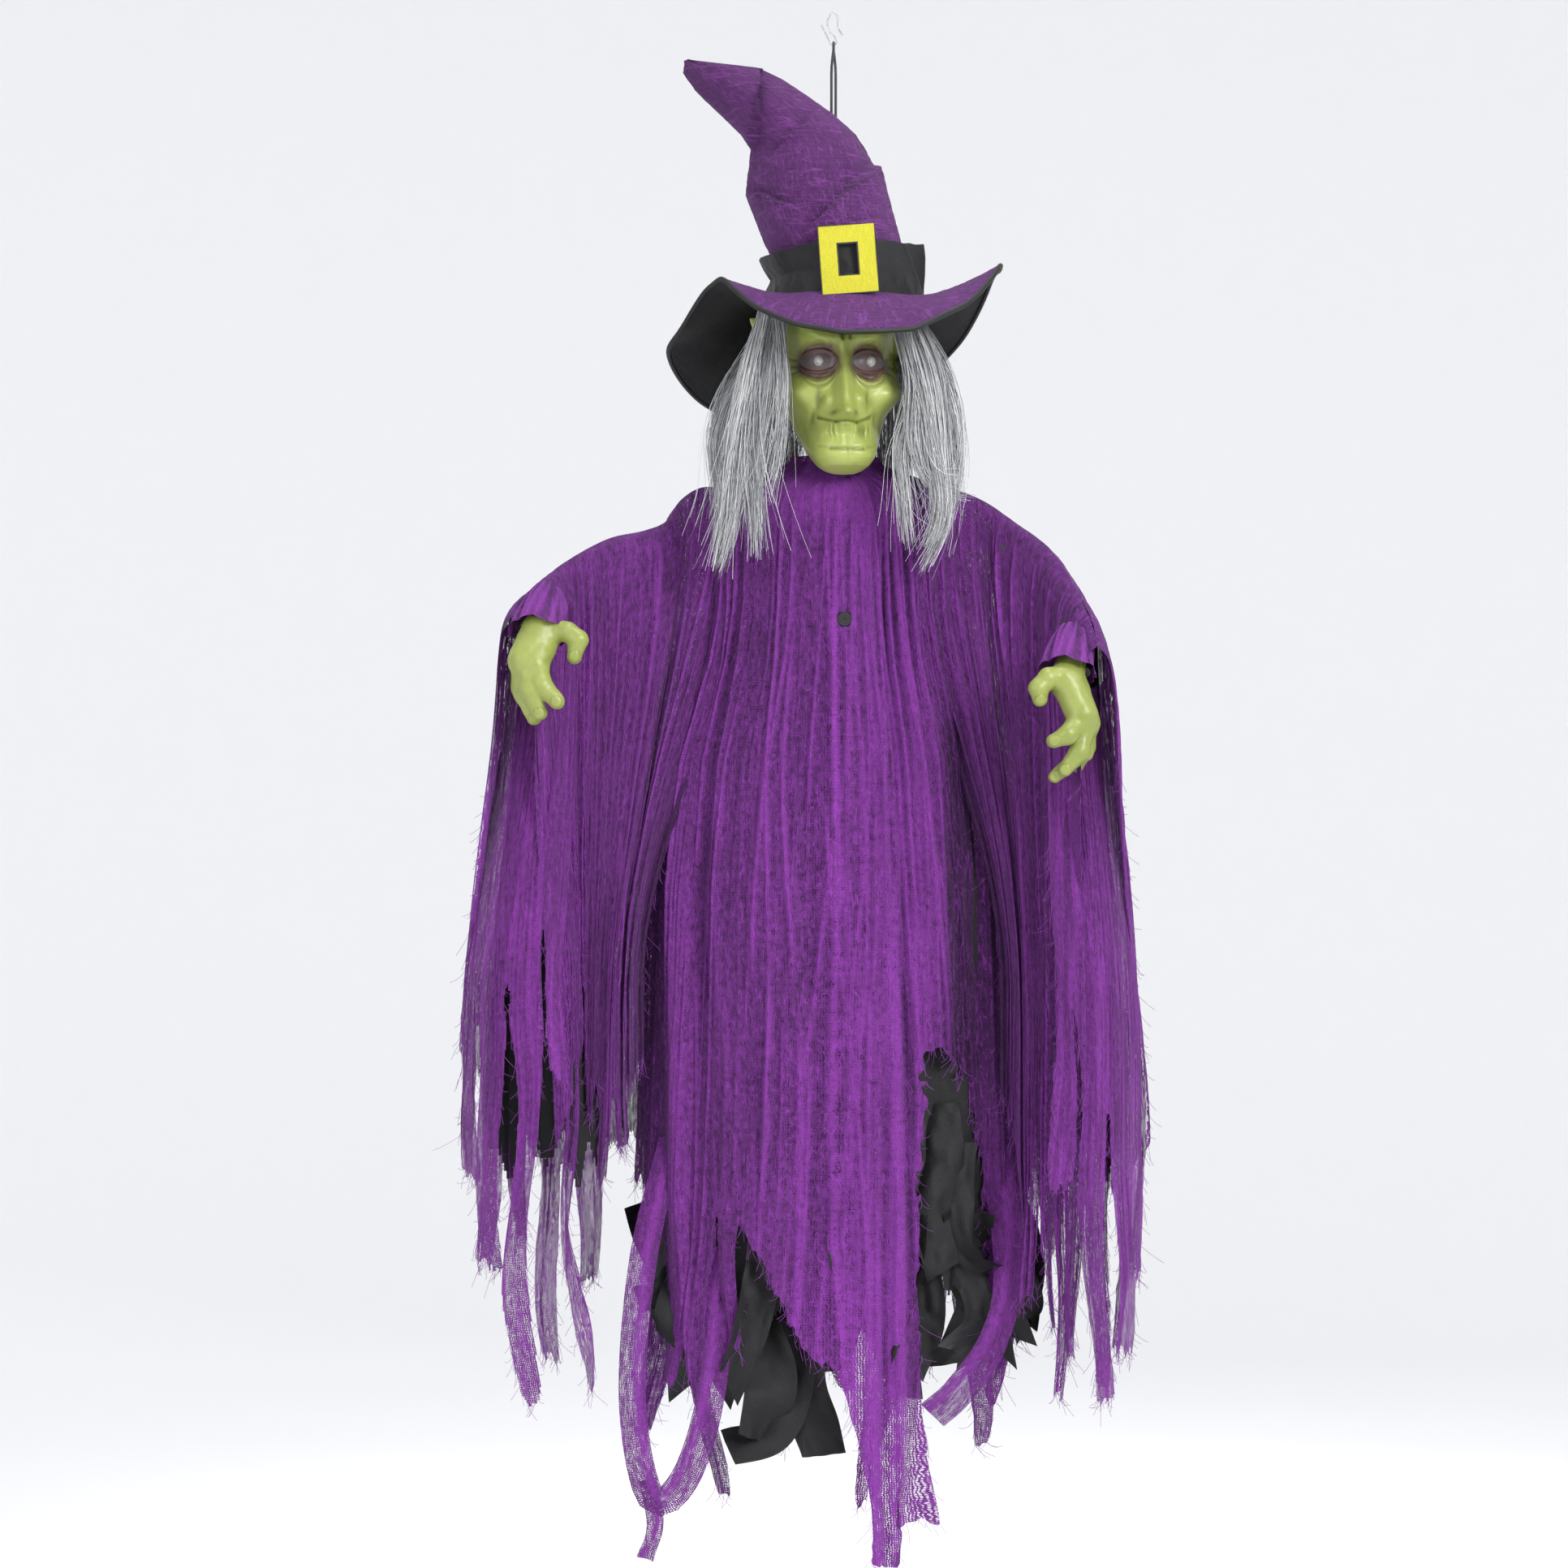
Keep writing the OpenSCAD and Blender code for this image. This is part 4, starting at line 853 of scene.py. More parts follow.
# Middle line of each black ribbon (x, y, z) and its width, all in metres.
RIBBONS = [
    ([(-0.112, -0.026, -0.965), (-0.112, -0.034, -1.000), (-0.092, -0.044, -1.030),
      (-0.064, -0.042, -1.022)], 0.034),
    ([(-0.100, -0.024, -0.97), (-0.118, -0.030, -0.995), (-0.138, -0.040, -1.020),
      (-0.156, -0.040, -1.026)], 0.022),
    ([(-0.098, -0.030, -0.97), (-0.100, -0.038, -1.01), (-0.086, -0.044, -1.05),
      (-0.098, -0.040, -1.078)], 0.038),
    ([(-0.066, -0.046, -0.98), (-0.062, -0.052, -1.04), (-0.050, -0.056, -1.09),
      (-0.062, -0.050, -1.135)], 0.042),
    ([(-0.038, -0.036, -1.02), (-0.030, -0.040, -1.08), (-0.046, -0.048, -1.13),
      (-0.084, -0.044, -1.143)], 0.030),
    ([(-0.026, -0.032, -1.02), (-0.024, -0.036, -1.09), (-0.008, -0.036, -1.150)], 0.036),
    ([(0.080, -0.056, -0.87), (0.084, -0.064, -0.92), (0.078, -0.066, -0.955),
      (0.086, -0.070, -1.000)], 0.036),
    ([(0.098, -0.056, -0.90), (0.096, -0.066, -0.96), (0.108, -0.070, -0.992),
      (0.128, -0.062, -0.998)], 0.028),
    ([(0.090, -0.050, -0.99), (0.108, -0.062, -1.010), (0.112, -0.066, -1.040),
      (0.088, -0.060, -1.062)], 0.026),
    ([(0.066, -0.050, -0.99), (0.070, -0.056, -1.04), (0.058, -0.060, -1.08)], 0.034),
    ([(-0.060, 0.058, -0.97), (-0.066, 0.064, -1.05), (-0.050, 0.066, -1.13)], 0.038),
    ([(0.050, 0.058, -0.97), (0.046, 0.066, -1.06), (0.062, 0.060, -1.12)], 0.038),
    ([(0.000, 0.060, -0.97), (0.008, 0.068, -1.05), (-0.006, 0.066, -1.10)], 0.034),
    ([(-0.122, 0.030, -0.96), (-0.128, 0.036, -1.03), (-0.116, 0.040, -1.08)], 0.030),
    ([(0.122, 0.030, -0.96), (0.126, 0.038, -1.04), (0.112, 0.044, -1.09)], 0.030),
]


LOOSE_RIBBONS = 18


def loose_ribbons(count):
    """More strips of lining from its torn hem, curled at random."""
    made = []
    for k in range(count):
        turn = 2 * math.pi * (k + RNG.uniform(0.2, 0.8)) / count
        start, out = robe_at(np.array(turn), np.array(-0.955), -0.010)
        length = RNG.uniform(0.08, 0.15)
        sway = RNG.normal(0, 0.022, 3)
        curl = RNG.uniform(0.004, 0.014)
        line = []
        for t in np.linspace(0, 1, 5):
            place = start + [sway[0] * t ** 2, 0, -length * t] + out * curl * math.sin(4 * t + k)
            line.append(tuple(place + [0, sway[1] * 0.4 * t ** 2, 0.25 * abs(sway[2]) * t ** 3]))
        made.append((line, RNG.uniform(0.024, 0.040)))
    return made


# Strips of gauze that hang in loops from the robe's hem.
LOOPS = [
    ([(-0.128, -0.040, -0.900), (-0.150, -0.062, -0.99), (-0.158, -0.080, -1.10), (-0.142, -0.086, -1.176),
      (-0.112, -0.084, -1.150), (-0.092, -0.076, -1.06), (-0.094, -0.046, -0.930)], 0.022),
    ([(-0.146, -0.084, -1.160), (-0.140, -0.086, -1.195), (-0.148, -0.084, -1.222)], 0.014),
    ([(0.128, -0.036, -0.900), (0.136, -0.066, -1.00), (0.122, -0.080, -1.055), (0.096, -0.080, -1.092),
      (0.076, -0.074, -1.112)], 0.024),
]


def hanging_strips(name, lines, material, node, bend):
    """Narrow strips of cloth along the given lines; bend is how much each one twists and cups."""
    points, faces, uvs, pleats, start = [], [], [], [], 0
    for k, (line, width) in enumerate(lines):
        rows, columns = 64, 15
        middle_line = curve_through(line, rows)
        length = np.linalg.norm(np.diff(middle_line, axis=0), axis=1).sum()
        along = np.linspace(0, 1, rows)[:, None]
        cross = np.linspace(-0.5, 0.5, columns)[None, :]
        twist = 0.35 * math.sin(1.7 * k) + bend * math.sin(2.3 * k + 1) * along ** 2
        taper = 1 + 0.20 * (value_noise(along * 5 + k, 0.5) - 0.5)
        fall = np.gradient(middle_line, axis=0)
        fall /= np.linalg.norm(fall, axis=1)[:, None]
        flat = np.column_stack([-fall[:, 2], 0 * fall[:, 0], fall[:, 0]])
        flat /= np.linalg.norm(flat, axis=1)[:, None]
        side = np.cos(twist)[..., None] * flat[:, None] + np.sin(twist)[..., None] * [0, 1, 0]
        ruck = (value_noise(along * 9 + k, cross * 5 + k) - 0.5) * 0.12 * width
        cup = (cross ** 2 - 0.08) * width * 0.9 * np.sin(along * 4 + k) + ruck
        place = middle_line[:, None] + side * (cross * width * taper)[..., None]
        place[..., 1] += cup
        slant = 0.9 * math.sin(3.1 * k) * along ** 3
        place += fall[:, None] * (cross * width * slant)[..., None]
        points.append(place.reshape(-1, 3))
        faces.append(grid_faces(rows, columns) + start)
        uvs.append(np.stack([cross * width + 0 * along, along * length + 0 * cross], -1).reshape(-1, 2))
        pleats.append((0.8 * bell(cross - 0.25 * np.sin(3 * along + k), 0.16) + 0 * along).ravel())
        start += rows * columns
    points, faces, pleat = np.vstack(points), np.vstack(faces), np.concatenate(pleats)
    marks = {"pleat": pleat, "sheer": 0 * pleat + 0.5, "crease": 0 * pleat}
    made = make_object(name, points, faces, material, np.vstack(uvs), attributes=marks)
    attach(made, "figure")
    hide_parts(node)
    return made


hanging_strips("lining_ribbons", RIBBONS + loose_ribbons(LOOSE_RIBBONS), "lining", "lining_strips",
               1.1)
loops = hanging_strips("robe_loop_gauze", LOOPS, "gauze", "robe_tatters", 0.3)

# ---------------------------------------------------------------- sleeves

SLEEVE_COLUMNS = 300
SLEEVE_ROWS = 230
RIDGE_ROUND = 0.013


class Sleeve:
    """A wing of gauze draped over an arm: a ridge line, and where its two layers hang to.

    Places are for the left arm with x measured outwards; side turns them into the row's x.
    """

    def __init__(self, side, ridge, inner_foot, outer_foot, inner_strips, outer_strips,
                 inner_slit, outer_slit):
        self.side = side
        self.ridge = ridge
        self.feet = {"inner": inner_foot, "outer": outer_foot}
        self.strips = {"inner": inner_strips, "outer": outer_strips}
        self.slits = {"inner": np.array(inner_slit), "outer": np.array(outer_slit)}


# Ridge points and foot points are (outwards, y, z); strips are (share of the ridge, half, lowest).
LEFT_SLEEVE = Sleeve(
    -1,
    [(0.036, -0.004, -0.364), (0.066, -0.006, -0.372), (0.090, -0.004, -0.380), (0.108, 0.000, -0.382),
     (0.123, 0.000, -0.392), (0.134, -0.008, -0.409), (0.152, -0.014, -0.417), (0.180, -0.022, -0.424),
     (0.212, -0.040, -0.443), (0.236, -0.076, -0.466), (0.246, -0.104, -0.480), (0.246, -0.114, -0.488)],
    [(0.150, -0.050), (0.156, -0.056), (0.168, -0.066), (0.186, -0.080), (0.206, -0.094), (0.220, -0.100)],
    [(0.150, 0.030), (0.170, 0.026), (0.205, 0.010), (0.245, -0.010), (0.276, -0.034), (0.292, -0.060)],
    [(0.30, 0.07, -0.905), (0.46, 0.06, -0.93), (0.62, 0.05, -0.88), (0.78, 0.045, -1.090),
     (0.90, 0.03, -1.00)],
    [(0.30, 0.06, -1.02), (0.48, 0.06, -1.08), (0.66, 0.055, -0.985), (0.80, 0.05, -1.00),
     (0.94, 0.055, -0.925)],
    [(0.0, -0.84), (0.35, -0.87), (0.6, -0.85), (0.72, -0.74), (0.85, -0.86), (1.0, -0.90)],
    [(0.0, -0.90), (0.5, -0.93), (0.8, -0.86), (1.0, -0.82)],
)
RIGHT_SLEEVE = Sleeve(
    1,
    [(0.036, -0.004, -0.364), (0.068, -0.004, -0.374), (0.098, 0.001, -0.383), (0.122, 0.001, -0.393),
     (0.143, -0.012, -0.409), (0.168, -0.034, -0.430), (0.184, -0.068, -0.458), (0.196, -0.104, -0.488),
     (0.200, -0.126, -0.508),
     (0.200, -0.132, -0.514)],
    [(0.130, -0.054), (0.138, -0.062), (0.148, -0.074), (0.162, -0.090), (0.178, -0.104), (0.190, -0.112)],
    [(0.132, 0.028), (0.150, 0.022), (0.178, 0.004), (0.205, -0.020), (0.226, -0.044), (0.242, -0.074)],
    [(0.30, 0.07, -0.96), (0.44, 0.06, -1.02), (0.60, 0.06, -1.04), (0.76, 0.05, -1.095),
     (0.90, 0.05, -1.06)],
    [(0.30, 0.06, -1.00), (0.48, 0.06, -1.06), (0.66, 0.055, -1.10), (0.82, 0.05, -1.06),
     (0.95, 0.05, -1.00)],
    [(0.0, -0.86), (0.35, -0.93), (0.6, -0.96), (0.8, -0.98), (1.0, -0.95)],
    [(0.0, -0.92), (0.5, -0.96), (0.8, -0.94), (1.0, -0.90)],
)


def sleeve_layer(sleeve, which, rows=SLEEVE_ROWS, shrink=0.0, longest=1.105):
    """One hanging layer of a sleeve: points, cloth coordinates and the share along the ridge."""
    ridge = curve_through(sleeve.ridge, SLEEVE_COLUMNS)
    along = np.gradient(ridge[:, :2], axis=0)
    along /= np.linalg.norm(along, axis=1)[:, None]
    sign = 1 if which == "inner" else -1
    normal = sign * np.column_stack([-along[:, 1], along[:, 0]])
    normal *= -1 if normal[0, 1] * sign > 0 else 1
    foot = curve_through([(*f, 0.0) for f in sleeve.feet[which]], SLEEVE_COLUMNS)[:, :2]
    u = np.linspace(0, 1, SLEEVE_COLUMNS)[None, :]
    w = np.linspace(0, 1, rows)[:, None] ** 1.15
    drop = w * (longest + ridge[None, :, 2])
    tip = 1 - np.exp(-drop / RIDGE_ROUND)
    start = ridge[None, :, :2] + normal[None] * ((RIDGE_ROUND - shrink) * tip)[..., None]
    fall = smooth_step(drop, 0.0, 0.42)[..., None]
    plan = start * (1 - fall) + (foot[None] - shrink * normal[None]) * fall
    z = ridge[None, :, 2] - drop + 0.6 * RIDGE_ROUND * tip - shrink * (1 - tip)
    return np.dstack([plan, z]), normal, u + 0 * w, drop


def make_sleeve(sleeve, label):
    """Both layers of gauze, which meet over the arm."""
    seed = 30.0 if sleeve.side < 0 else 47.0
    parts, faces, uvs, start = [], [], [], 0
    marks = {"pleat": [], "sheer": [], "crease": []}
    for which in ("outer", "inner"):
        place, normal, u, drop = sleeve_layer(sleeve, which)
        across = u * 0.30 + seed / 10 + (0.5 if which == "inner" else 0)
        deep = 0.0012 + 0.0110 * smooth_step(drop, 0.02, 0.35)
        wave, fine = folds(across, drop, seed), crinkle(across, drop, seed)
        lift = wave * deep + (fine - 0.5) * (0.0010 + 0.0026 * smooth_step(drop, 0, 0.1))
        pleat = smooth_step(fine, 0.6, 1.0) * (0.20 + 0.60 * smooth_step(wave, -0.1, 0.8))
        narrow = tucks(across, drop, 22, int(seed) + len(parts), *np.sort(across[0, [0, -1]]))
        lift += 0.0040 * narrow
        pleat = np.maximum(pleat, narrow)
        sheer = 1.25 * smooth_step(u, 0.66, 0.88) * smooth_step(drop, 0.06, 0.25)
        sheer = np.maximum(sheer, 0.8 * smooth_step(drop, 0.42, 0.62))
        pleat = pleat * (1 - 0.5 * np.minimum(sheer, 1))
        place[..., :2] += normal[None] * lift[..., None]
        slit = sleeve.slits[which]
        slit_z = np.interp(u, slit[:, 0], slit[:, 1])
        strips = sleeve.strips[which]
        scaled = [(c * 0.30, h * 0.30, end) for c, h, end in strips]
        keep = cut_mask(u * 0.30, place[..., 2], slit_z, scaled, seed / 100)
        side, forward = sway_of(u * 0.30, place[..., 2], slit_z, scaled, 0.008)
        place[..., 0] += side * sleeve.side
        place[..., 1] += forward * 0.6
        # painted shade: a dark band along each layer's edge next to the body, where the sleeve folds into
        # shadow
        shade = 0.8 * (1 - smooth_step(u, 0.02, 0.16)) * smooth_step(drop, 0.05, 0.16)
        cells = keep[:-1, :-1] & keep[1:, :-1] & keep[:-1, 1:] & keep[1:, 1:]
        place[..., 0] *= sleeve.side
        parts.append(place.reshape(-1, 3))
        faces.append(grid_faces(*place.shape[:2], cells) + start)
        uvs.append(np.stack([across, drop + 2 * (which == "inner")], -1).reshape(-1, 2))
        for key, value in zip(marks, (pleat, sheer, shade)):
            marks[key].append(value.ravel())
        start += place.shape[0] * place.shape[1]
    marks = [np.concatenate(values) for values in marks.values()]
    points, faces, (uv, pleat, sheer, shade) = only_used(np.vstack(parts), np.vstack(faces),
                                                         np.vstack(uvs), *marks)
    points = smooth_rim(points, faces)
    made = make_object(f"{label}_sleeve_gauze", points, faces, "gauze", uv,
                       attributes={"pleat": pleat, "sheer": sheer, "crease": shade})
    add_frays(label, points, faces, -0.60, 0.45, 0.016)
    blend_over_shoulder(made)
    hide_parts(f"{label}_sleeve")
    return made


def blend_over_shoulder(piece):
    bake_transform(piece)


# Strips of the gauze that closes each sleeve's mouth, from its body side to its outer side.
MOUTHS = {
    "left": ([(0.200, -0.092, -0.450), (0.224, -0.106, -0.452), (0.246, -0.104, -0.464),
              (0.255, -0.094, -0.480)],
             [(0.205, -0.112), (0.235, -0.122), (0.266, -0.108), (0.292, -0.072)],
             [(0.10, 0.09, -0.85), (0.32, 0.11, -1.095), (0.60, 0.13, -0.990), (0.88, 0.12, -0.930)],
             [(0.0, -0.66), (0.3, -0.76), (0.6, -0.80), (1.0, -0.82)]),
    "right": ([(0.164, -0.108, -0.474), (0.184, -0.124, -0.478), (0.204, -0.122, -0.492),
               (0.212, -0.112, -0.506)],
              [(0.166, -0.128), (0.190, -0.138), (0.216, -0.124), (0.238, -0.090)],
              [(0.10, 0.10, -0.93), (0.36, 0.12, -1.095), (0.66, 0.14, -1.060), (0.90, 0.10, -1.000)],
              [(0.0, -0.70), (0.3, -0.86), (0.6, -0.88), (1.0, -0.90)]),
}


def make_mouth(side, label):
    """Single gauze that falls from the cuff, in front of the hand's wrist, slit into strips."""
    top, foot, strips, slit = MOUTHS[label]
    rows, columns = 260, 130
    top, foot = curve_through(top, columns), curve_through([(*f, 0.0) for f in foot], columns)
    u, w = np.meshgrid(np.linspace(0, 1, columns), np.linspace(0, 1, rows))
    drop = w * (1.105 + top[None, :, 2])
    fall = smooth_step(drop, 0.0, 0.34)[..., None]
    plan = top[None, :, :2] * (1 - fall) + foot[None, :, :2] * fall
    plan[..., 1] += 0.030 * smooth_step(drop, 0.0, 0.03) * (1 - smooth_step(drop, 0.05, 0.30))
    z = top[None, :, 2] - drop
    across = u * 0.13 + (6 if side < 0 else 7)
    wave, fine = folds(across, drop, 8.0), crinkle(across, drop, 5.0)
    plan[..., 1] += wave * 0.008 * smooth_step(drop, 0.02, 0.2) + (fine - 0.5) * 0.003
    keep = cut_mask(u * 0.13, z, np.interp(u, *np.array(slit).T),
                    [(c * 0.13, h * 0.13, end) for c, h, end in strips], side * 0.7)
    sway, forward = sway_of(u * 0.13, z, np.interp(u, *np.array(slit).T),
                            [(c * 0.13, h * 0.13, end) for c, h, end in strips], 0.006)
    plan[..., 0] += sway
    plan[..., 1] += forward * 0.5
    place = np.dstack([plan[..., 0] * side, plan[..., 1], z])
    hand = np.hypot(plan[..., 0] - top[columns // 2, 0], (z - top[columns // 2, 2] + 0.022) * 0.75)
    keep &= (hand > 0.030) | (drop > 0.10)
    cells = keep[:-1, :-1] & keep[1:, :-1] & keep[:-1, 1:] & keep[1:, 1:]
    uv = np.stack([across, drop], -1).reshape(-1, 2)
    pleat = smooth_step(fine, 0.55, 1.0) * 0.7
    points, faces, (uv, pleat) = only_used(place.reshape(-1, 3), grid_faces(rows, columns, cells), uv,
                                           pleat.ravel())
    made = make_object(f"{label}_cuff_fall_gauze", points, faces, "gauze", uv,
                       attributes={"pleat": pleat, "sheer": np.full(len(points), 0.7),
                                   "crease": np.zeros(len(points))})
    add_frays(label, points, faces, -0.60, 0.45, 0.016)
    blend_over_shoulder(made)
    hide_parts(f"{label}_sleeve")
    return made


def make_sleeve_lining(sleeve, label):
    """The sleeve's black lining: the same drape, a little inside the gauze and shorter."""
    parts, faces, uvs, start = [], [], [], 0
    for which in ("outer", "inner"):
        place, normal, u, drop = sleeve_layer(sleeve, which, 90, 0.005, 0.96)
        across = u * 0.30
        lift = folds(across, drop, 61.0) * 0.004 * smooth_step(drop, 0.05, 0.3)
        place[..., :2] += normal[None] * lift[..., None]
        foot = -0.915 + 0.05 * (value_noise(across / 0.03 + 5, 2.0) - 0.5)
        span = (u > 0.34) & (u < (0.80 if which == "inner" else 0.86))
        keep = (place[..., 2] > foot) & span
        cells = keep[:-1, :-1] & keep[1:, :-1] & keep[:-1, 1:] & keep[1:, 1:]
        place[..., 0] *= sleeve.side
        parts.append(place.reshape(-1, 3))
        faces.append(grid_faces(*place.shape[:2], cells) + start)
        uvs.append(np.stack([across, drop + 2 * (which == "inner")], -1).reshape(-1, 2))
        start += place.shape[0] * place.shape[1]
    points, faces, (uv,) = only_used(np.vstack(parts), np.vstack(faces), np.vstack(uvs))
    made = make_object(f"{label}_sleeve_lining_cloth", points, faces, "lining", uv)
    blend_over_shoulder(made)
    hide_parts(f"{label}_sleeve_lining")
    return made


# The gathered end of each sleeve round the wrist: start, end and radius at each.
CUFFS = {
    "left": ((-0.222, -0.088, -0.468), (-0.229, -0.113, -0.503), 0.0085, 0.0215),
    "right": ((0.184, -0.104, -0.500), (0.178, -0.127, -0.534), 0.0085, 0.0215),
}


def make_cuff(label):
    start, end, first, last = CUFFS[label]
    start, end = np.array(start), np.array(end)
    rows, columns = 70, 180
    t, turn = np.meshgrid(np.linspace(0, 1, rows), np.linspace(0, 2 * math.pi, columns, endpoint=False),
                          indexing="ij")
    along = (end - start) / np.linalg.norm(end - start)
    side = np.cross(along, [0, 1, 0])
    side /= np.linalg.norm(side)
    other = np.cross(along, side)
    gathers = ridged(turn * 3.6, t * 0.8 + 0.3 * value_noise(turn * 2, t * 3))
    slack = value_noise(turn * 1.3 + 4, t * 2.5)
    radius = first + (last - first) * np.sqrt(t) + 0.0030 * (gathers - 0.5) + 0.0050 * (slack - 0.5)
    ragged = 0.006 * (value_noise(turn * 2.6, 3.0) - 0.5)
    centre = start + (end - start) * t[..., None] + along * (ragged * t)[..., None]
    place = centre + radius[..., None] * (np.cos(turn)[..., None] * side + np.sin(turn)[..., None] * other)
    uv = np.stack([turn * 0.024, t * 0.05], -1).reshape(-1, 2)
    pleat = smooth_step(gathers, 0.35, 0.9).ravel()
    made = make_object(f"{label}_cuff_gauze", place.reshape(-1, 3), grid_faces(rows, columns, wrap=True),
                       "gauze", uv, attributes={"pleat": pleat, "sheer": 0 * pleat, "crease": 0 * pleat})
    blend_over_shoulder(made)
    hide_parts(f"{label}_sleeve")
    return made


ARMS = {"left": LEFT_SLEEVE, "right": RIGHT_SLEEVE}
for label, shape in ARMS.items():
    make_sleeve(shape, label)
for label in ARMS:
    make_cuff(label)
for side, label in ((-1, "left"), (1, "right")):
    make_mouth(side, label)
for label, shape in ARMS.items():
    make_sleeve_lining(shape, label)

for group, paths in FRAYS.items():
    threads = tubes_object(f"{group}_loose_threads", paths, [0.00016] * len(paths), 3, "thread")
    if group == "figure":
        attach(threads, "figure")
    else:
        blend_over_shoulder(threads)


# ---------------------------------------------------------------- hat

# Left and right outline of the cone from the brim to the tip, as (height, x).
HAT_LEFT = [(-0.2420, -0.0510), (-0.2113, -0.0430), (-0.1866, -0.0540), (-0.1703, -0.0600),
            (-0.1456, -0.0690), (-0.1300, -0.0672), (-0.1105, -0.0663), (-0.0975, -0.0748),
            (-0.0793, -0.0936), (-0.0637, -0.1099), (-0.0490, -0.1205), (-0.0400, -0.1190)]
HAT_RIGHT = [(-0.2420, 0.0630), (-0.1918, 0.0560), (-0.1541, 0.0442), (-0.1333, 0.0377),
             (-0.1222, 0.0318), (-0.0988, 0.0169), (-0.0832, 0.0006), (-0.0631, -0.0280),
             (-0.0540, -0.0420), (-0.0468, -0.0570), (-0.0400, -0.1120)]
HAT_DEPTH = [(-0.2420, 0.066), (-0.1900, 0.060), (-0.1540, 0.052), (-0.1300, 0.047),
             (-0.1080, 0.042), (-0.0850, 0.036), (-0.0620, 0.028), (-0.0480, 0.020),
             (-0.0400, 0.005)]
# Folds on the cone, front then back: two ends (x, z), step height, reach above, reach below.
HAT_FOLDS = [
    (-1, (0.040, -0.118), (-0.022, -0.184), 0.0085, 0.042, 0.012),
    (-1, (-0.055, -0.040), (-0.067, -0.118), -0.0060, 0.020, 0.030),
    (-1, (-0.078, -0.140), (-0.030, -0.166), -0.0040, 0.016, 0.018),
    (-1, (-0.012, -0.084), (-0.060, -0.128), 0.0030, 0.020, 0.014),
    (1, (0.038, -0.140), (-0.070, -0.128), 0.0060, 0.030, 0.014),
    (1, (0.000, -0.080), (-0.072, -0.100), -0.0040, 0.020, 0.020),
]


def profile(table, z):
    table = np.array(sorted(table))
    return np.interp(z, table[:, 0], table[:, 1])


def fold_height(x, z, start, end, step, above, below):
    """A step along a line that fades out on both sides and at both ends."""
    start, end = np.array(start), np.array(end)
    length = np.linalg.norm(end - start)
    along = (end - start) / length
    t = (x - start[0]) * along[0] + (z - start[1]) * along[1]
    s = (x - start[0]) * along[1] - (z - start[1]) * along[0]
    s = s + 0.003 * (value_noise(t / 0.012, 8.0) - 0.5)
    ends = smooth_step(t, -0.010, 0.012) * (1 - smooth_step(t, length - 0.012, length + 0.012))
    upper = smooth_step(-s, -0.0012, 0.0012) * np.exp(-np.clip(-s, 0, None) / above)
    lower = -0.45 * (1 - smooth_step(-s, -0.0012, 0.0012)) * np.exp(-np.clip(s, 0, None) / below)
    return step * ends * (upper + lower)


def hat_marks(count, crease=None):
    return {"pleat": np.full(count, 0.2), "sheer": np.zeros(count),
            "crease": np.zeros(count) if crease is None else crease}


def make_hat_cone():
    rows, columns = 230, 260
    z, turn = np.meshgrid(np.linspace(-0.2415, -0.0402, rows),
                          np.linspace(0, 2 * math.pi, columns, endpoint=False), indexing="ij")
    left, right, depth = profile(HAT_LEFT, z), profile(HAT_RIGHT, z), profile(HAT_DEPTH, z)
    c, s = np.cos(turn), np.sin(turn)
    x = (left + right) / 2 + (right - left) / 2 * c
    y = depth * s
    lift, dark = np.zeros_like(z), np.zeros_like(z)
    for face, start, end, step, above, below in HAT_FOLDS:
        facing = smooth_step(face * s, 0.0, 0.45)
        lift += facing * fold_height(x, z, start, end, step, above, below)
        # painted shade: dark marks each fold's line, darkest midway along it, where the overlapping cloth
        # shades the step
        away, t = segment_distance(x, z, start, end)
        dark = np.maximum(dark, 0.6 * facing * bell(away, 0.0034) * np.sin(np.pi * np.clip(t, 0.05, 0.95)))
    slack = (value_noise(turn * 3.1, z / 0.035) - 0.5) * 0.0035
    slub = (ridged(z / 0.0035 + 0.4 * value_noise(turn * 6, z / 0.02), turn * 1.6) - 0.6) * 0.0005
    grow = lift + slack * smooth_step(z, -0.235, -0.19) + slub
    x, y = x + grow * c, y + grow * s * 1.1
    uv = np.stack([turn * 0.055, z], -1).reshape(-1, 2)
    points = np.stack([x, y, z], -1).reshape(-1, 3)
    faces = grid_faces(rows, columns, wrap=True)
    tip = len(points)
    last = (rows - 1) * columns
    cap = [(last + k, last + (k + 1) % columns, tip, tip) for k in range(columns)]
    points = np.vstack([points, [[-0.1165, 0, -0.0382]]])
    uv = np.vstack([uv, [[0, -0.038]]])
    faces = [tuple(f) for f in faces] + [f[:3] for f in cap]
    cone = make_object("hat_cone_gauze", points, faces, "hat_gauze", uv,
                       attributes=hat_marks(len(points), np.append(dark.ravel(), 0)))
    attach(cone, "head")
    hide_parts("hat_cone")
    return cone


# Brim edge by heading in degrees (0 is +X, 90 is the back): height, and distance from the axis.
BRIM_EDGE_Z = [(-90, -0.272), (-60, -0.267), (-35, -0.243), (-12, -0.206), (8, -0.210), (30, -0.255),
               (55, -0.290), (90, -0.318), (125, -0.322), (150, -0.305), (172, -0.282),
               (190, -0.258), (203, -0.228), (215, -0.222), (235, -0.248), (255, -0.265), (270, -0.271)]
BRIM_EDGE_R = [(-90, 0.118), (-45, 0.122), (-12, 0.134), (30, 0.122), (90, 0.118), (150, 0.124),
               (180, 0.132), (205, 0.106), (235, 0.108), (270, 0.118)]


BRIM_ROOT = -0.233


def around(table, heading):
    """A smooth closed curve through a table of headings."""
    table = np.array(table)
    fine = np.linspace(-90, 270, 721)
    raw = np.interp(fine, table[:, 0], table[:, 1])
    kernel = np.hanning(25)
    padded = np.concatenate([raw[-13:-1], raw, raw[1:13]])
    smooth = np.convolve(padded, kernel / kernel.sum(), mode="valid")
    return np.interp((heading + 90) % 360 - 90, fine, smooth)


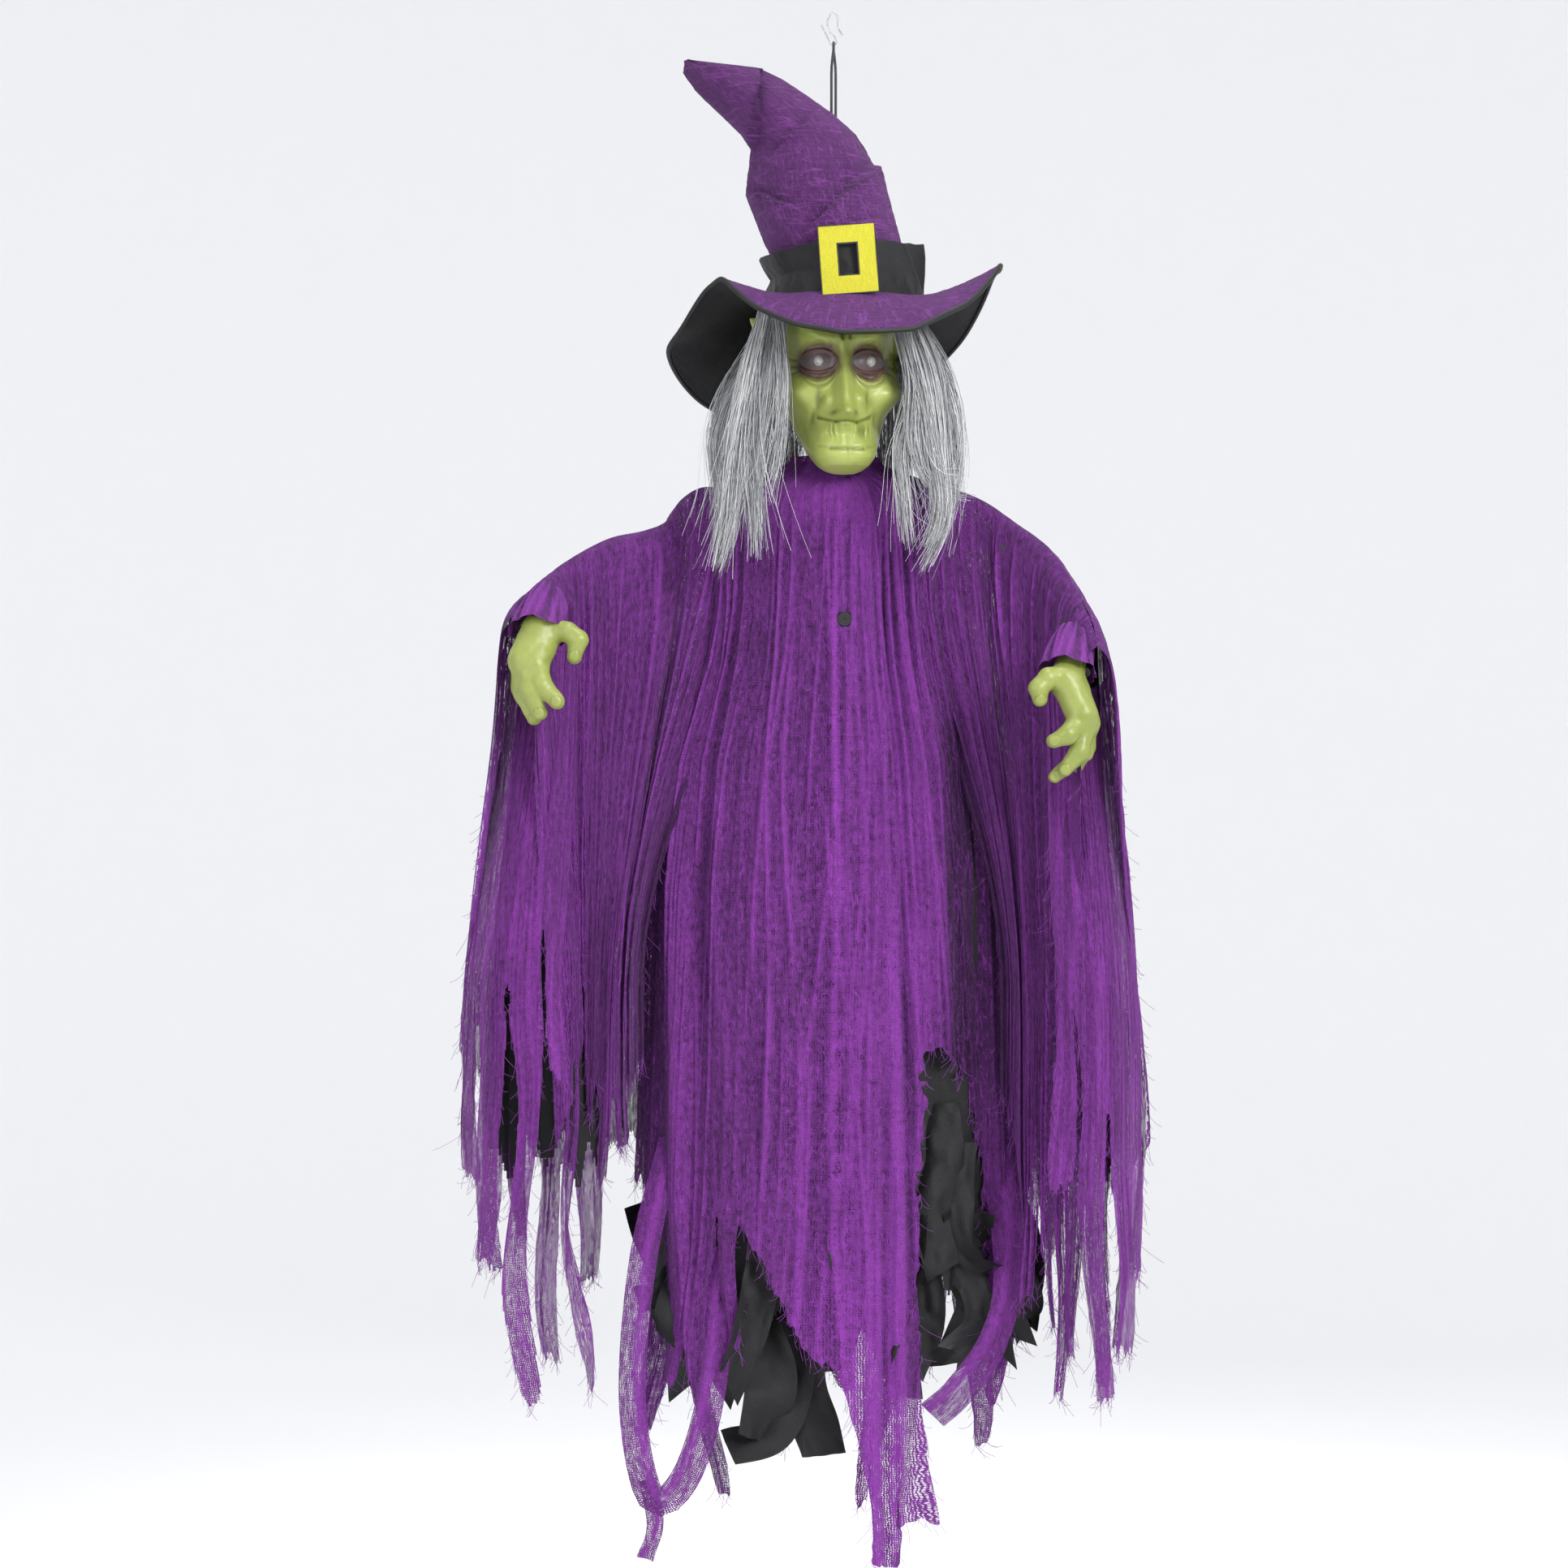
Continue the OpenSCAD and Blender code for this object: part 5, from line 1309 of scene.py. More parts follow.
def brim_points(turn, t):
    heading = np.degrees(turn)
    root = np.stack([0.006 + 0.058 * np.cos(turn), 0.067 * np.sin(turn)], -1)
    reach = around(BRIM_EDGE_R, heading)
    edge = np.stack([reach * np.cos(turn), reach * np.sin(turn)], -1)
    plan = root * (1 - t[..., None]) + edge * t[..., None]
    z = BRIM_ROOT + (around(BRIM_EDGE_Z, heading) - BRIM_ROOT) * t ** 1.35
    z = z + 0.0028 * (value_noise(turn * 2.6 + 40, t * 1.4) - 0.5) * smooth_step(t, 0.1, 0.6)
    return np.dstack([plan, z])


def make_brim():
    columns, rows = 480, 60
    t, turn = np.meshgrid(np.linspace(0, 1, rows), np.linspace(0, 2 * math.pi, columns, endpoint=False),
                          indexing="ij")
    surface = brim_points(turn, t)
    slub = (ridged(t * 16 + 0.5 * value_noise(turn * 9, t * 5), turn * 2.2) - 0.6) * 0.0005
    faces = grid_faces(rows, columns, wrap=True)
    uv = np.stack([t * 0.07, turn * 0.09], -1).reshape(-1, 2)
    top, under = surface.copy(), surface.copy()
    top[..., 2] += 0.0010 + slub
    under[..., 2] -= 0.0006
    pieces = [("hat_brim_gauze", top, "hat_gauze", faces), ("hat_brim_underside", under, "lining",
                                                             faces[:, ::-1])]
    made = []
    for name, points, material, quads in pieces:
        piece = make_object(name, points.reshape(-1, 3), quads, material, uv,
                            attributes=hat_marks(len(uv)))
        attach(piece, "head")
        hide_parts("hat_brim")
        made.append(piece)
    rim = np.vstack([surface[-1], surface[-1, :1]])
    out = rim * [1, 1, 0] / np.linalg.norm(rim[:, :2], axis=1)[:, None]
    binding = tubes_object("hat_brim_piping", [rim + out * 0.0012], [0.0020], 10, "piping")
    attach(binding, "head")
    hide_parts("brim_binding")
    return made


def make_band():
    rows, columns = 26, 360
    z, turn = np.meshgrid(np.linspace(-0.2350, -0.1905, rows),
                          np.linspace(-math.pi, math.pi, columns, endpoint=False), indexing="ij")
    degrees = np.degrees(turn)
    c, s = np.cos(turn), np.sin(turn)
    x = (profile(HAT_LEFT, z) + profile(HAT_RIGHT, z)) / 2
    half = (profile(HAT_RIGHT, z) - profile(HAT_LEFT, z)) / 2
    up = smooth_step(z, -0.236, -0.192)
    flare = 0.0105 * np.exp(-np.abs(degrees + 4) / 9) * (0.55 + 0.45 * up)
    back_corner = 0.0015 * np.exp(-np.abs(np.abs(degrees) - 176) / 8)
    crumple = 0.0022 * (ridged(turn * 5.5 + 2 * up, z / 0.05) - 0.5) \
        + 0.0010 * (value_noise(turn * 14, z / 0.011) - 0.5)
    grow = 0.0058 + flare + back_corner + crumple * (0.9 - 0.5 * up)
    z = z + 0.0035 * np.exp(-np.abs(degrees + 4) / 14) * (up - 0.5) * 2 \
        + 0.0012 * (value_noise(turn * 6, 2.0) - 0.5) \
        - 0.0085 * smooth_step(-c, -0.1, 0.9) * up
    points = np.stack([x + (half + grow) * c, (profile(HAT_DEPTH, z) + grow) * s, z], -1)
    uv = np.stack([turn * 0.06, z], -1).reshape(-1, 2)
    band = make_object("hat_band_cloth", points.reshape(-1, 3), grid_faces(rows, columns, wrap=True),
                       "lining", uv)
    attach(band, "head")
    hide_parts("hat_band")
    return band


def plate_with_window(half_w, half_h, win_w, win_h, thick, count):
    """A flat frame with rounded rims as one grid that runs round the window."""
    ring = np.linspace(0, 2 * math.pi, count, endpoint=False) + 0.001

    def rectangle(w, h):
        c, s = np.cos(ring), np.sin(ring)
        scale = 1 / np.maximum(np.abs(c) / w, np.abs(s) / h)
        return np.column_stack([c * scale, s * scale])

    outer, inner = rectangle(half_w, half_h), rectangle(win_w, win_h)
    steps = np.concatenate([[0.0], np.linspace(0.03, 0.97, 20), [1.0]])
    front = [outer * (1 - t) + inner * t for t in steps]
    depth = [thick * 0.3 if t in (0.0, 1.0) else 0.0 for t in steps]
    back = [front[-1], front[0]]
    rows = [np.column_stack([p[:, 0], np.full(count, d), p[:, 1]]) for p, d in zip(front, depth)]
    rows += [np.column_stack([p[:, 0], np.full(count, thick), p[:, 1]]) for p in back]
    rows.append(rows[0])
    return np.vstack(rows), grid_faces(len(rows), count, wrap=True)


BUCKLE_LEAN = math.radians(-4)
BUCKLE_TILT = math.radians(-7)


def make_buckle():
    """A felt buckle with a thin black line round its outside and its window."""
    points, faces = plate_with_window(0.0222, 0.0275, 0.0078, 0.0128, 0.0021, 360)
    rough = 0.00022 * (value_noise(points[:, 0] / 0.0009, points[:, 2] / 0.0009) - 0.5)
    points[:, 1] += rough + 0.0008 * (value_noise(points[:, 0] / 0.02, points[:, 2] / 0.02) - 0.5)
    lines, line_faces = [], []
    for half_w, half_h, win_w, win_h in ((0.0226, 0.0279, 0.0220, 0.0273),
    (0.0084, 0.0134, 0.0072, 0.0122)):
        p, f = plate_with_window(half_w, half_h, win_w, win_h, 0.0012, 240)
        line_faces.append(f + sum(len(q) for q in lines))
        lines.append(p - [0, 0.0003, 0])
    place = np.array([0.0105, -0.0735, -0.2085])
    tilt = np.array([[1, 0, 0], [0, math.cos(BUCKLE_TILT), -math.sin(BUCKLE_TILT)],
                     [0, math.sin(BUCKLE_TILT), math.cos(BUCKLE_TILT)]])
    lean = np.array([[math.cos(BUCKLE_LEAN), 0, math.sin(BUCKLE_LEAN)], [0, 1, 0],
                     [-math.sin(BUCKLE_LEAN), 0, math.cos(BUCKLE_LEAN)]])
    for name, shape, quads, material in (
            ("buckle_felt_frame", points, faces, "felt"),
            ("buckle_border_lines", np.vstack(lines), np.vstack(line_faces), "cord")):
        piece = make_object(name, shape @ lean.T @ tilt.T + place, quads, material, smooth=False)
        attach(piece, "head")
        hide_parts("hat_buckle")


make_hat_cone()
make_brim()
make_band()
make_buckle()

# ---------------------------------------------------------------- head

FACE_TURN = math.radians(8)
# Height, middle y, half width and half depth of the head.
HEAD_LEVELS = np.array([
    [-0.3752, -0.050, 0.004, 0.004], [-0.3745, -0.050, 0.009, 0.008], [-0.3725, -0.049, 0.0145, 0.0125],
    [-0.3690, -0.047, 0.0195, 0.0170], [-0.3630, -0.043, 0.0240, 0.0215],
    [-0.352, -0.035, 0.0295, 0.029], [-0.337, -0.021, 0.0345, 0.043], [-0.310, -0.007, 0.043, 0.055],
    [-0.285, -0.003, 0.046, 0.059], [-0.262, 0.000, 0.047, 0.060], [-0.240, 0.000, 0.047, 0.060],
    [-0.215, 0.002, 0.042, 0.053],
])
EYES = (-0.0205, 0.0200)
EYE_Z = -0.2865
NOSE_X = -0.0022


# Folds of the face (both sides): ends as (x, z), half width, depth (+ raised, - cut).
FACE_LINES = [
    ((0.006, -0.2700), (0.036, -0.2640), 0.0048, 0.0040),
    ((0.008, -0.2590), (0.032, -0.2560), 0.0016, -0.0014),
    ((0.010, -0.2530), (0.030, -0.2500), 0.0014, -0.0012),
    ((0.0150, -0.3120), (0.0240, -0.3250), 0.0030, -0.0030),
    ((0.0240, -0.3250), (0.0270, -0.3380), 0.0026, -0.0024),
    ((0.0090, -0.2960), (0.0250, -0.3010), 0.0020, -0.0012),
    ((0.0345, -0.2850), (0.0450, -0.2800), 0.0013, -0.0014),
    ((0.0350, -0.2890), (0.0460, -0.2890), 0.0013, -0.0014),
    ((0.0340, -0.2930), (0.0450, -0.2980), 0.0013, -0.0014),
    ((0.0180, -0.3330), (0.0230, -0.3290), 0.0016, -0.0018),
    ((0.0100, -0.3560), (0.0240, -0.3530), 0.0022, -0.0012),
]
CENTRE_LINES = [
    ((-0.0035, -0.2500), (-0.0025, -0.2690), 0.0016, -0.0020),
    ((0.0040, -0.2520), (0.0035, -0.2680), 0.0014, -0.0016),
    ((-0.0210, -0.3310), (-0.0080, -0.3352), 0.0012, -0.0026),
    ((-0.0080, -0.3352), (0.0080, -0.3354), 0.0012, -0.0026),
    ((0.0080, -0.3354), (0.0210, -0.3305), 0.0012, -0.0026),
    ((-0.0140, -0.3400), (0.0140, -0.3400), 0.0036, 0.0022),
    ((-0.0120, -0.3560), (0.0120, -0.3565), 0.0020, -0.0010),
]


def face_shape(x, z):
    """Outward height of the moulded face, and its masks of painted shade in the creases and of paint."""
    high = np.zeros_like(x)
    crease = np.zeros_like(x)
    paint = np.zeros_like(x)
    ball = np.zeros_like(x)
    high -= 0.0060 * bell(x, 0.030) * bell(z + 0.376, 0.006)
    nose_top, nose_tip = (-0.0025, -0.270), (-0.0022, -0.3290)
    away, t = segment_distance(x, z, nose_top, nose_tip)
    width = 0.0044 + 0.0036 * t ** 2
    high += (0.0050 + 0.0165 * t ** 1.3) * np.exp(-np.abs(away / width) ** 2.0)
    high += 0.0060 * bell(x - NOSE_X, 0.0115) * bell(z + 0.313, 0.016)
    high += 0.0062 * bell(x - NOSE_X, 0.0060) * bell(z + 0.3280, 0.0058)
    # painted shade along both sides of the nose
    crease = np.maximum(crease, 0.45 * bell(np.abs(x - NOSE_X) - 0.0085, 0.0020) * bell(z + 0.290, 0.018))
    for side, eye in zip((-1, 1), EYES):
        s = side * x
        from_nose = side * (x - NOSE_X)
        high += 0.0062 * bell(from_nose - 0.0135, 0.0048) * bell(z + 0.3170, 0.0080)
        # painted shade in the cheek fold beside the nose and under each nostril
        crease = np.maximum(crease, 0.8 * bell(from_nose - 0.0192, 0.0020) * bell(z + 0.3160, 0.0095))
        crease = np.maximum(crease, 0.9 * bell(from_nose - 0.0080, 0.0026) * bell(z + 0.3285, 0.0020))
        socket = np.hypot((x - eye) / 0.0170, (z - EYE_Z) / 0.0145)
        high -= 0.0078 * np.exp(-socket ** 3.0)
        bulb = np.hypot((x - eye) / 0.0125, (z - EYE_Z) / 0.0095)
        high += 0.0056 * np.exp(-bulb ** 3.0)
        arch = 0.0056 * np.sqrt(np.clip(1 - ((x - eye) / 0.0135) ** 2, 0.0, 1))
        lid = (z - EYE_Z) / (arch + 0.0010)
        near = 1 - smooth_step(np.abs(x - eye), 0.0115, 0.0160)
        for level, thin, deep in ((1.35, 0.22, 0.0016), (-1.35, 0.22, 0.0014), (2.6, 0.30, 0.0010),
                                  (-2.5, 0.25, 0.0009), (-3.4, 0.28, 0.0007)):
            high += near * deep * bell(lid - level, thin)
        # painted shade in the creases above and below each eyelid
        for level, thin, dark in ((1.0, 0.14, 1.0), (-1.0, 0.14, 0.8), (1.95, 0.16, 1.0),
                                  (-1.95, 0.16, 0.8), (-2.95, 0.16, 0.6)):
            crease = np.maximum(crease, near * dark * bell(lid - level, thin))
        bag = np.hypot((x - eye) / 0.0172, (z - EYE_Z + 0.0005) / 0.0150)
        paint = np.maximum(paint, 1 - smooth_step(bag, 0.60, 1.45))
        ball = np.maximum(ball, near * (1 - smooth_step(np.abs(lid), 0.80, 1.0)))
        high += 0.0130 * bell(s - 0.0370, 0.0110) * bell(z + 0.3130, 0.0120)
        high -= 0.0066 * bell(s - 0.0310, 0.0120) * bell(z + 0.3370, 0.0115)
        high += 0.0040 * bell(s - 0.0170, 0.0110) * bell(z + 0.3600, 0.0100)
        high += 0.0030 * bell(s - 0.0290, 0.0110) * bell(z + 0.2560, 0.0090)
        high -= 0.0030 * bell(s - 0.0420, 0.0080) * bell(z + 0.2750, 0.0130)
        for a, b, wide, deep in FACE_LINES:
            away, t = segment_distance(s, z, a, b)
            fade = np.sin(np.pi * np.clip(t, 0.08, 0.92))
            high += deep * fade * bell(away, wide)
            # painted shade in each cut line
            if deep < 0:
                crease = np.maximum(crease, fade * bell(away, 0.6 * wide) * min(0.6, -deep / 0.0030))
    for a, b, wide, deep in CENTRE_LINES:
        away, t = segment_distance(x, z, a, b)
        high += deep * bell(away, wide)
        # painted shade in each cut line
        if deep < 0:
            crease = np.maximum(crease, 0.9 * bell(away, 0.7 * wide))
    lips = bell(z + 0.3425, 0.0060) * smooth_step(np.abs(x), 0.001, 0.004) * \
        (1 - smooth_step(np.abs(x), 0.019, 0.026))
    wrinkle = ridged(x / 0.0030 + 0.6 * value_noise(x / 0.01, z / 0.006), z / 0.02)
    high += 0.0016 * lips * (wrinkle - 0.6)
    # painted shade between the lip wrinkles
    crease = np.maximum(crease, 0.8 * lips * smooth_step(0.45 - wrinkle, 0.0, 0.35))
    high += 0.0075 * bell(x - 0.0005, 0.023) * bell(z + 0.3570, 0.0175)
    chin = bell(z + 0.3500, 0.030)
    high += 0.0007 * chin * bell(x - 0.001, 0.0009)
    cleft = value_noise(x / 0.006 + 9, z / 0.006 + 3)
    high += 0.0007 * (cleft - 0.5)
    return high, crease, paint, ball


def turned(points, angle):
    c, s = math.cos(angle), math.sin(angle)
    return points @ np.array([[c, s, 0], [-s, c, 0], [0, 0, 1]])


def make_face():
    rows, columns = 380, 480
    z, angle = np.meshgrid(np.linspace(-0.3752, -0.2200, rows),
                           np.linspace(-1.72, 1.72, columns), indexing="ij")
    mid, a, b = (np.interp(z, HEAD_LEVELS[:, 0], HEAD_LEVELS[:, k]) for k in (1, 2, 3))
    power = 2.25
    c, s = np.cos(angle), np.sin(angle)
    x = a * np.sign(s) * np.abs(s) ** (2 / power)
    y = mid - b * np.sign(c) * np.abs(c) ** (2 / power)
    high, crease, paint, ball = face_shape(x, z)
    front = smooth_step(c, 0.05, 0.45)
    out_x, out_y = s / a, -c / b
    length = np.hypot(out_x, out_y)
    tilt = 0.75
    y = y + high * front * (tilt * -1 + (1 - tilt) * out_y / length)
    x = x + high * front * (1 - tilt) * out_x / length
    cheek = np.where(x > 0, 0.0060, 0.0025) * smooth_step(np.abs(x), 0.022, 0.044) * bell(z + 0.3060, 0.0160)
    x = x + np.sign(x) * cheek * smooth_step(c, -0.14, 0.15)
    points = turned(np.stack([x, y, z], -1).reshape(-1, 3), FACE_TURN)
    faces = grid_faces(rows, columns)
    low = len(points)
    points = np.vstack([points, turned(np.array([[0, -0.050, -0.3754]]), FACE_TURN)])
    cap = [(k + 1, k, low) for k in range(columns - 1)]
    marks = {"crease": crease * front, "paint": paint * front, "ball": ball * front}
    marks = {key: np.append(value.ravel(), 0) for key, value in marks.items()}
    face = make_object("face_vinyl", points, [tuple(f) for f in faces] + cap, "skin", attributes=marks)
    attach(face, "head")
    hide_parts("head_front")
    return face


def make_back_head():
    """The plain back half of the moulded head, with both pointed ears."""
    rows, columns = 90, 120
    z, angle = np.meshgrid(np.linspace(-0.352, -0.2150, rows), np.linspace(1.60, 4.68, columns),
                           indexing="ij")
    mid, a, b = (np.interp(z, HEAD_LEVELS[:, 0], HEAD_LEVELS[:, k]) for k in (1, 2, 3))
    x = a * np.sign(np.sin(angle)) * np.abs(np.sin(angle)) ** (2 / 2.25)
    y = mid - b * np.sign(np.cos(angle)) * np.abs(np.cos(angle)) ** (2 / 2.25)
    dimple = 0.0012 * (value_noise(angle * 6, z / 0.02) - 0.5)
    x, y = x * (1 + dimple * 20), y * (1 + dimple * 20)
    parts = [np.stack([x, y, z], -1).reshape(-1, 3)]
    faces = [grid_faces(rows, columns)]
    for side in (-1, 1):
        base, tip = np.array([side * 0.044, -0.002, -0.274]), np.array([side * 0.0680, -0.002, -0.2480])
        t, turn = np.meshgrid(np.linspace(0, 1, 26), np.linspace(0, 2 * math.pi, 40, endpoint=False),
                              indexing="ij")
        half_h = 0.017 * (1 - t) ** 0.75 + 0.0006
        half_w = 0.0048 * (1 - t) ** 0.6 + 0.0005
        hollow = 0.0025 * bell(turn - 1.5 * math.pi, 0.9) * (1 - t)
        place = base + t[..., None] * (tip - base)
        place[..., 1] += (half_w - hollow) * np.sin(turn)
        place[..., 2] += half_h * np.cos(turn)
        place[..., 0] -= side * 0.006 * np.cos(turn) * (1 - t)
        faces.append(grid_faces(26, 40, wrap=True) + sum(len(p) for p in parts))
        parts.append(place.reshape(-1, 3))
    points = turned(np.vstack(parts), FACE_TURN)
    none = np.zeros(len(points))
    back = make_object("back_head_vinyl", points, np.vstack(faces), "skin",
                       attributes={"crease": none, "paint": none, "ball": none})
    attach(back, "head")
    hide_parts("head_back")
    return back


face = make_face()
make_back_head()


def make_eye_leds():
    """A clear dome with a flange in the middle of each eyeball."""
    surface = np.array([v.co[:] for v in face.data.vertices])
    profile_line = [(0.0000, 0.0042), (0.0008, 0.0042), (0.0010, 0.0034), (0.0024, 0.0032),
                    (0.0038, 0.0022), (0.0044, 0.0010), (0.0046, 0.0001)]
    points, faces, start = [], [], 0
    for eye in EYES:
        at = turned(np.array([[eye, -0.06, EYE_Z]]), FACE_TURN)[0]
        front = surface[surface[:, 1] < 0]
        centre = front[np.argmin(np.hypot(front[:, 0] - at[0], front[:, 2] - at[2]))]
        turn = np.linspace(0, 2 * math.pi, 28, endpoint=False)
        rings = [np.column_stack([radius * np.cos(turn), np.full(28, -height), radius * np.sin(turn)])
                 for height, radius in profile_line]
        points.append(np.vstack(rings) + centre + [0, 0.0006, 0])
        faces.append(grid_faces(len(rings), 28, wrap=True) + start)
        start += len(rings) * 28
    leds = make_object("eye_led_domes", np.vstack(points), np.vstack(faces), "led")
    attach(leds, "head")
    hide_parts("eye_leds")
    return leds


make_eye_leds()

# ---------------------------------------------------------------- hair

# Each lock: where it starts on the head, the points it runs through, how far it spreads at each
# point, and how many strands it has.
LOCKS = [
    ([(-0.046, -0.040, -0.238), (-0.060, -0.062, -0.300), (-0.074, -0.072, -0.360),
      (-0.084, -0.076, -0.415), (-0.094, -0.070, -0.458)], (0.010, 0.015, 0.014, 0.009, 0.006), 400),
    ([(-0.046, -0.044, -0.238), (-0.056, -0.066, -0.300), (-0.064, -0.074, -0.360),
      (-0.062, -0.078, -0.410), (-0.060, -0.074, -0.446)], (0.009, 0.012, 0.011, 0.007, 0.005), 270),
    ([(-0.060, -0.012, -0.272), (-0.080, -0.034, -0.310), (-0.092, -0.050, -0.350),
      (-0.088, -0.062, -0.395), (-0.092, -0.062, -0.436)], (0.009, 0.011, 0.009, 0.006, 0.004), 150),
    ([(-0.046, -0.048, -0.238), (-0.041, -0.072, -0.300), (-0.043, -0.078, -0.350),
      (-0.054, -0.078, -0.404)], (0.007, 0.005, 0.006, 0.004), 90),
    ([(0.053, -0.036, -0.242), (0.072, -0.060, -0.300), (0.080, -0.072, -0.360),
      (0.084, -0.078, -0.410), (0.064, -0.076, -0.456)], (0.010, 0.016, 0.013, 0.008, 0.005), 350),
    ([(0.056, -0.018, -0.244), (0.084, -0.044, -0.300), (0.094, -0.060, -0.360),
      (0.086, -0.070, -0.405), (0.070, -0.072, -0.436)], (0.008, 0.012, 0.010, 0.006, 0.004), 190),
    ([(0.052, -0.044, -0.243), (0.064, -0.062, -0.300), (0.063, -0.072, -0.348),
      (0.076, -0.076, -0.385), (0.109, -0.070, -0.394)], (0.009, 0.009, 0.008, 0.006, 0.006), 150),
    ([(0.052, -0.042, -0.243), (0.065, -0.060, -0.306), (0.052, -0.066, -0.354),
      (0.054, -0.078, -0.395), (0.058, -0.076, -0.440)], (0.009, 0.009, 0.007, 0.005, 0.004), 150),
    ([(-0.032, 0.046, -0.256), (-0.042, 0.068, -0.300), (-0.046, 0.074, -0.370),
      (-0.048, 0.070, -0.432)], (0.018, 0.025, 0.021, 0.011), 360),
    ([(0.000, 0.054, -0.258), (0.000, 0.076, -0.300), (0.002, 0.080, -0.370),
      (0.000, 0.074, -0.436)], (0.018, 0.026, 0.022, 0.011), 360),
    ([(0.034, 0.046, -0.256), (0.044, 0.068, -0.300), (0.046, 0.074, -0.370),
      (0.048, 0.070, -0.430)], (0.018, 0.025, 0.021, 0.011), 360),
    ([(-0.052, 0.022, -0.270), (-0.074, 0.028, -0.306), (-0.082, 0.030, -0.360),
      (-0.086, 0.026, -0.418)], (0.016, 0.024, 0.022, 0.012), 340),
    ([(0.054, 0.022, -0.268), (0.076, 0.028, -0.306), (0.084, 0.030, -0.360),
      (0.088, 0.026, -0.418)], (0.016, 0.024, 0.022, 0.012), 340),
    ([(-0.056, 0.002, -0.284), (-0.078, -0.010, -0.316), (-0.086, -0.016, -0.362),
      (-0.086, -0.020, -0.410)], (0.014, 0.026, 0.024, 0.010), 280),
    ([(0.056, 0.002, -0.276), (0.080, -0.010, -0.312), (0.088, -0.016, -0.362),
      (0.088, -0.020, -0.408)], (0.014, 0.026, 0.024, 0.010), 280),
]
STRAND_STEPS = 15
STRAND_R = 0.00026


def lock_strands(line, spread, count):
    """Strands of one lock; a lock at the side of the head is wide from front to back."""
    at_the_side = abs(line[0][0]) > 0.05 and line[0][1] > 0
    line = curve_through(line, STRAND_STEPS)
    steps = np.linspace(0, 1, STRAND_STEPS)
    wide = np.interp(steps, np.linspace(0, 1, len(spread)), spread) * (1.1 - 0.45 * steps ** 3)
    along = np.gradient(line, axis=0)
    along /= np.linalg.norm(along, axis=1)[:, None]
    side = np.cross(along, [1.0, 0.0, 0.0] if at_the_side else [0.0, 1.0, 0.0])
    side /= np.linalg.norm(side, axis=1)[:, None]
    other = np.cross(along, side)
    paths, shades = [], []
    for _ in range(count):
        turn, far_at_root = RNG.uniform(0, 2 * math.pi), math.sqrt(RNG.random())
        clump = math.floor(turn * 2.9) / 2.9
        angle = turn * (1 - 0.9 * steps) + clump * 0.9 * steps + RNG.normal(0, 0.10) * steps
        far = far_at_root * (1 - 0.35 * steps) + 0.45 * ((clump * 3.7) % 1.0) * steps
        stray = RNG.normal(0, 0.0035, 2) + (RNG.random() < 0.13) * RNG.normal(0, 0.014, 2)
        wave = 0.0012 * np.sin(steps * RNG.uniform(5, 14) + RNG.uniform(0, 6))
        a = far * np.cos(angle) * wide + stray[0] * steps ** 2 + wave
        b = 0.55 * far * np.sin(angle) * wide + stray[1] * 0.6 * steps ** 2
        reach = 1 - 0.22 * RNG.random() ** 1.5 - 0.16 * ((clump * 7.3) % 1.0)
        path = line + side * a[:, None] + other * b[:, None]
        ends = np.interp(steps * reach, steps, np.arange(STRAND_STEPS))
        low = np.clip(ends.astype(int), 0, STRAND_STEPS - 2)
        mix = (ends - low)[:, None]
        paths.append(path[low] * (1 - mix) + path[low + 1] * mix)
        shades.append(0.55 * ((clump * 5.3 + count * 0.37) % 1.0) + 0.45 * RNG.random())
    return paths, shades


def make_hair():
    groups = {"hair_left": LOCKS[:4], "hair_right": LOCKS[4:8], "hair_back": LOCKS[8:]}
    for node, locks in groups.items():
        paths, shades = [], []
        for lock in locks:
            more_paths, more_shades = lock_strands(*lock)
            paths += more_paths
            shades += more_shades
        radius = [np.linspace(1.0, 0.55, STRAND_STEPS) * STRAND_R for _ in paths]
        piece = tubes_object(f"{node}_strands", paths, radius, 3, "hair", np.array(shades))
        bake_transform(piece)
        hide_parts(node)


make_hair()

# ---------------------------------------------------------------- hands

# Bones of a claw seen from the front: ends (x, y, z) and radii. The wrist is behind the palm.
LEFT_CLAW = [
    ((-0.234, -0.092, -0.492), (-0.232, -0.112, -0.500), 0.0115, 0.0125),
    ((-0.234, -0.112, -0.500), (-0.245, -0.122, -0.524), 0.0140, 0.0130),
    ((-0.228, -0.112, -0.502), (-0.237, -0.124, -0.526), 0.0120, 0.0112),
    ((-0.226, -0.112, -0.500), (-0.212, -0.120, -0.502), 0.0100, 0.0075),
    ((-0.212, -0.120, -0.502), (-0.2035, -0.123, -0.508), 0.0075, 0.0072),
    ((-0.2035, -0.123, -0.508), (-0.2065, -0.124, -0.521), 0.0072, 0.0056),
    ((-0.236, -0.124, -0.524), (-0.231, -0.134, -0.543), 0.0084, 0.0074),
    ((-0.231, -0.134, -0.543), (-0.2195, -0.136, -0.5555), 0.0074, 0.0062),
    ((-0.242, -0.124, -0.526), (-0.2400, -0.132, -0.548), 0.0084, 0.0074),
    ((-0.2400, -0.132, -0.548), (-0.2330, -0.130, -0.5640), 0.0074, 0.0062),
    ((-0.248, -0.120, -0.524), (-0.2455, -0.124, -0.550), 0.0082, 0.0070),
    ((-0.2455, -0.124, -0.550), (-0.2375, -0.122, -0.5680), 0.0070, 0.0056),
    ((-0.250, -0.112, -0.520), (-0.2490, -0.112, -0.545), 0.0076, 0.0064),
    ((-0.2490, -0.112, -0.545), (-0.2430, -0.108, -0.5600), 0.0064, 0.0050),
]
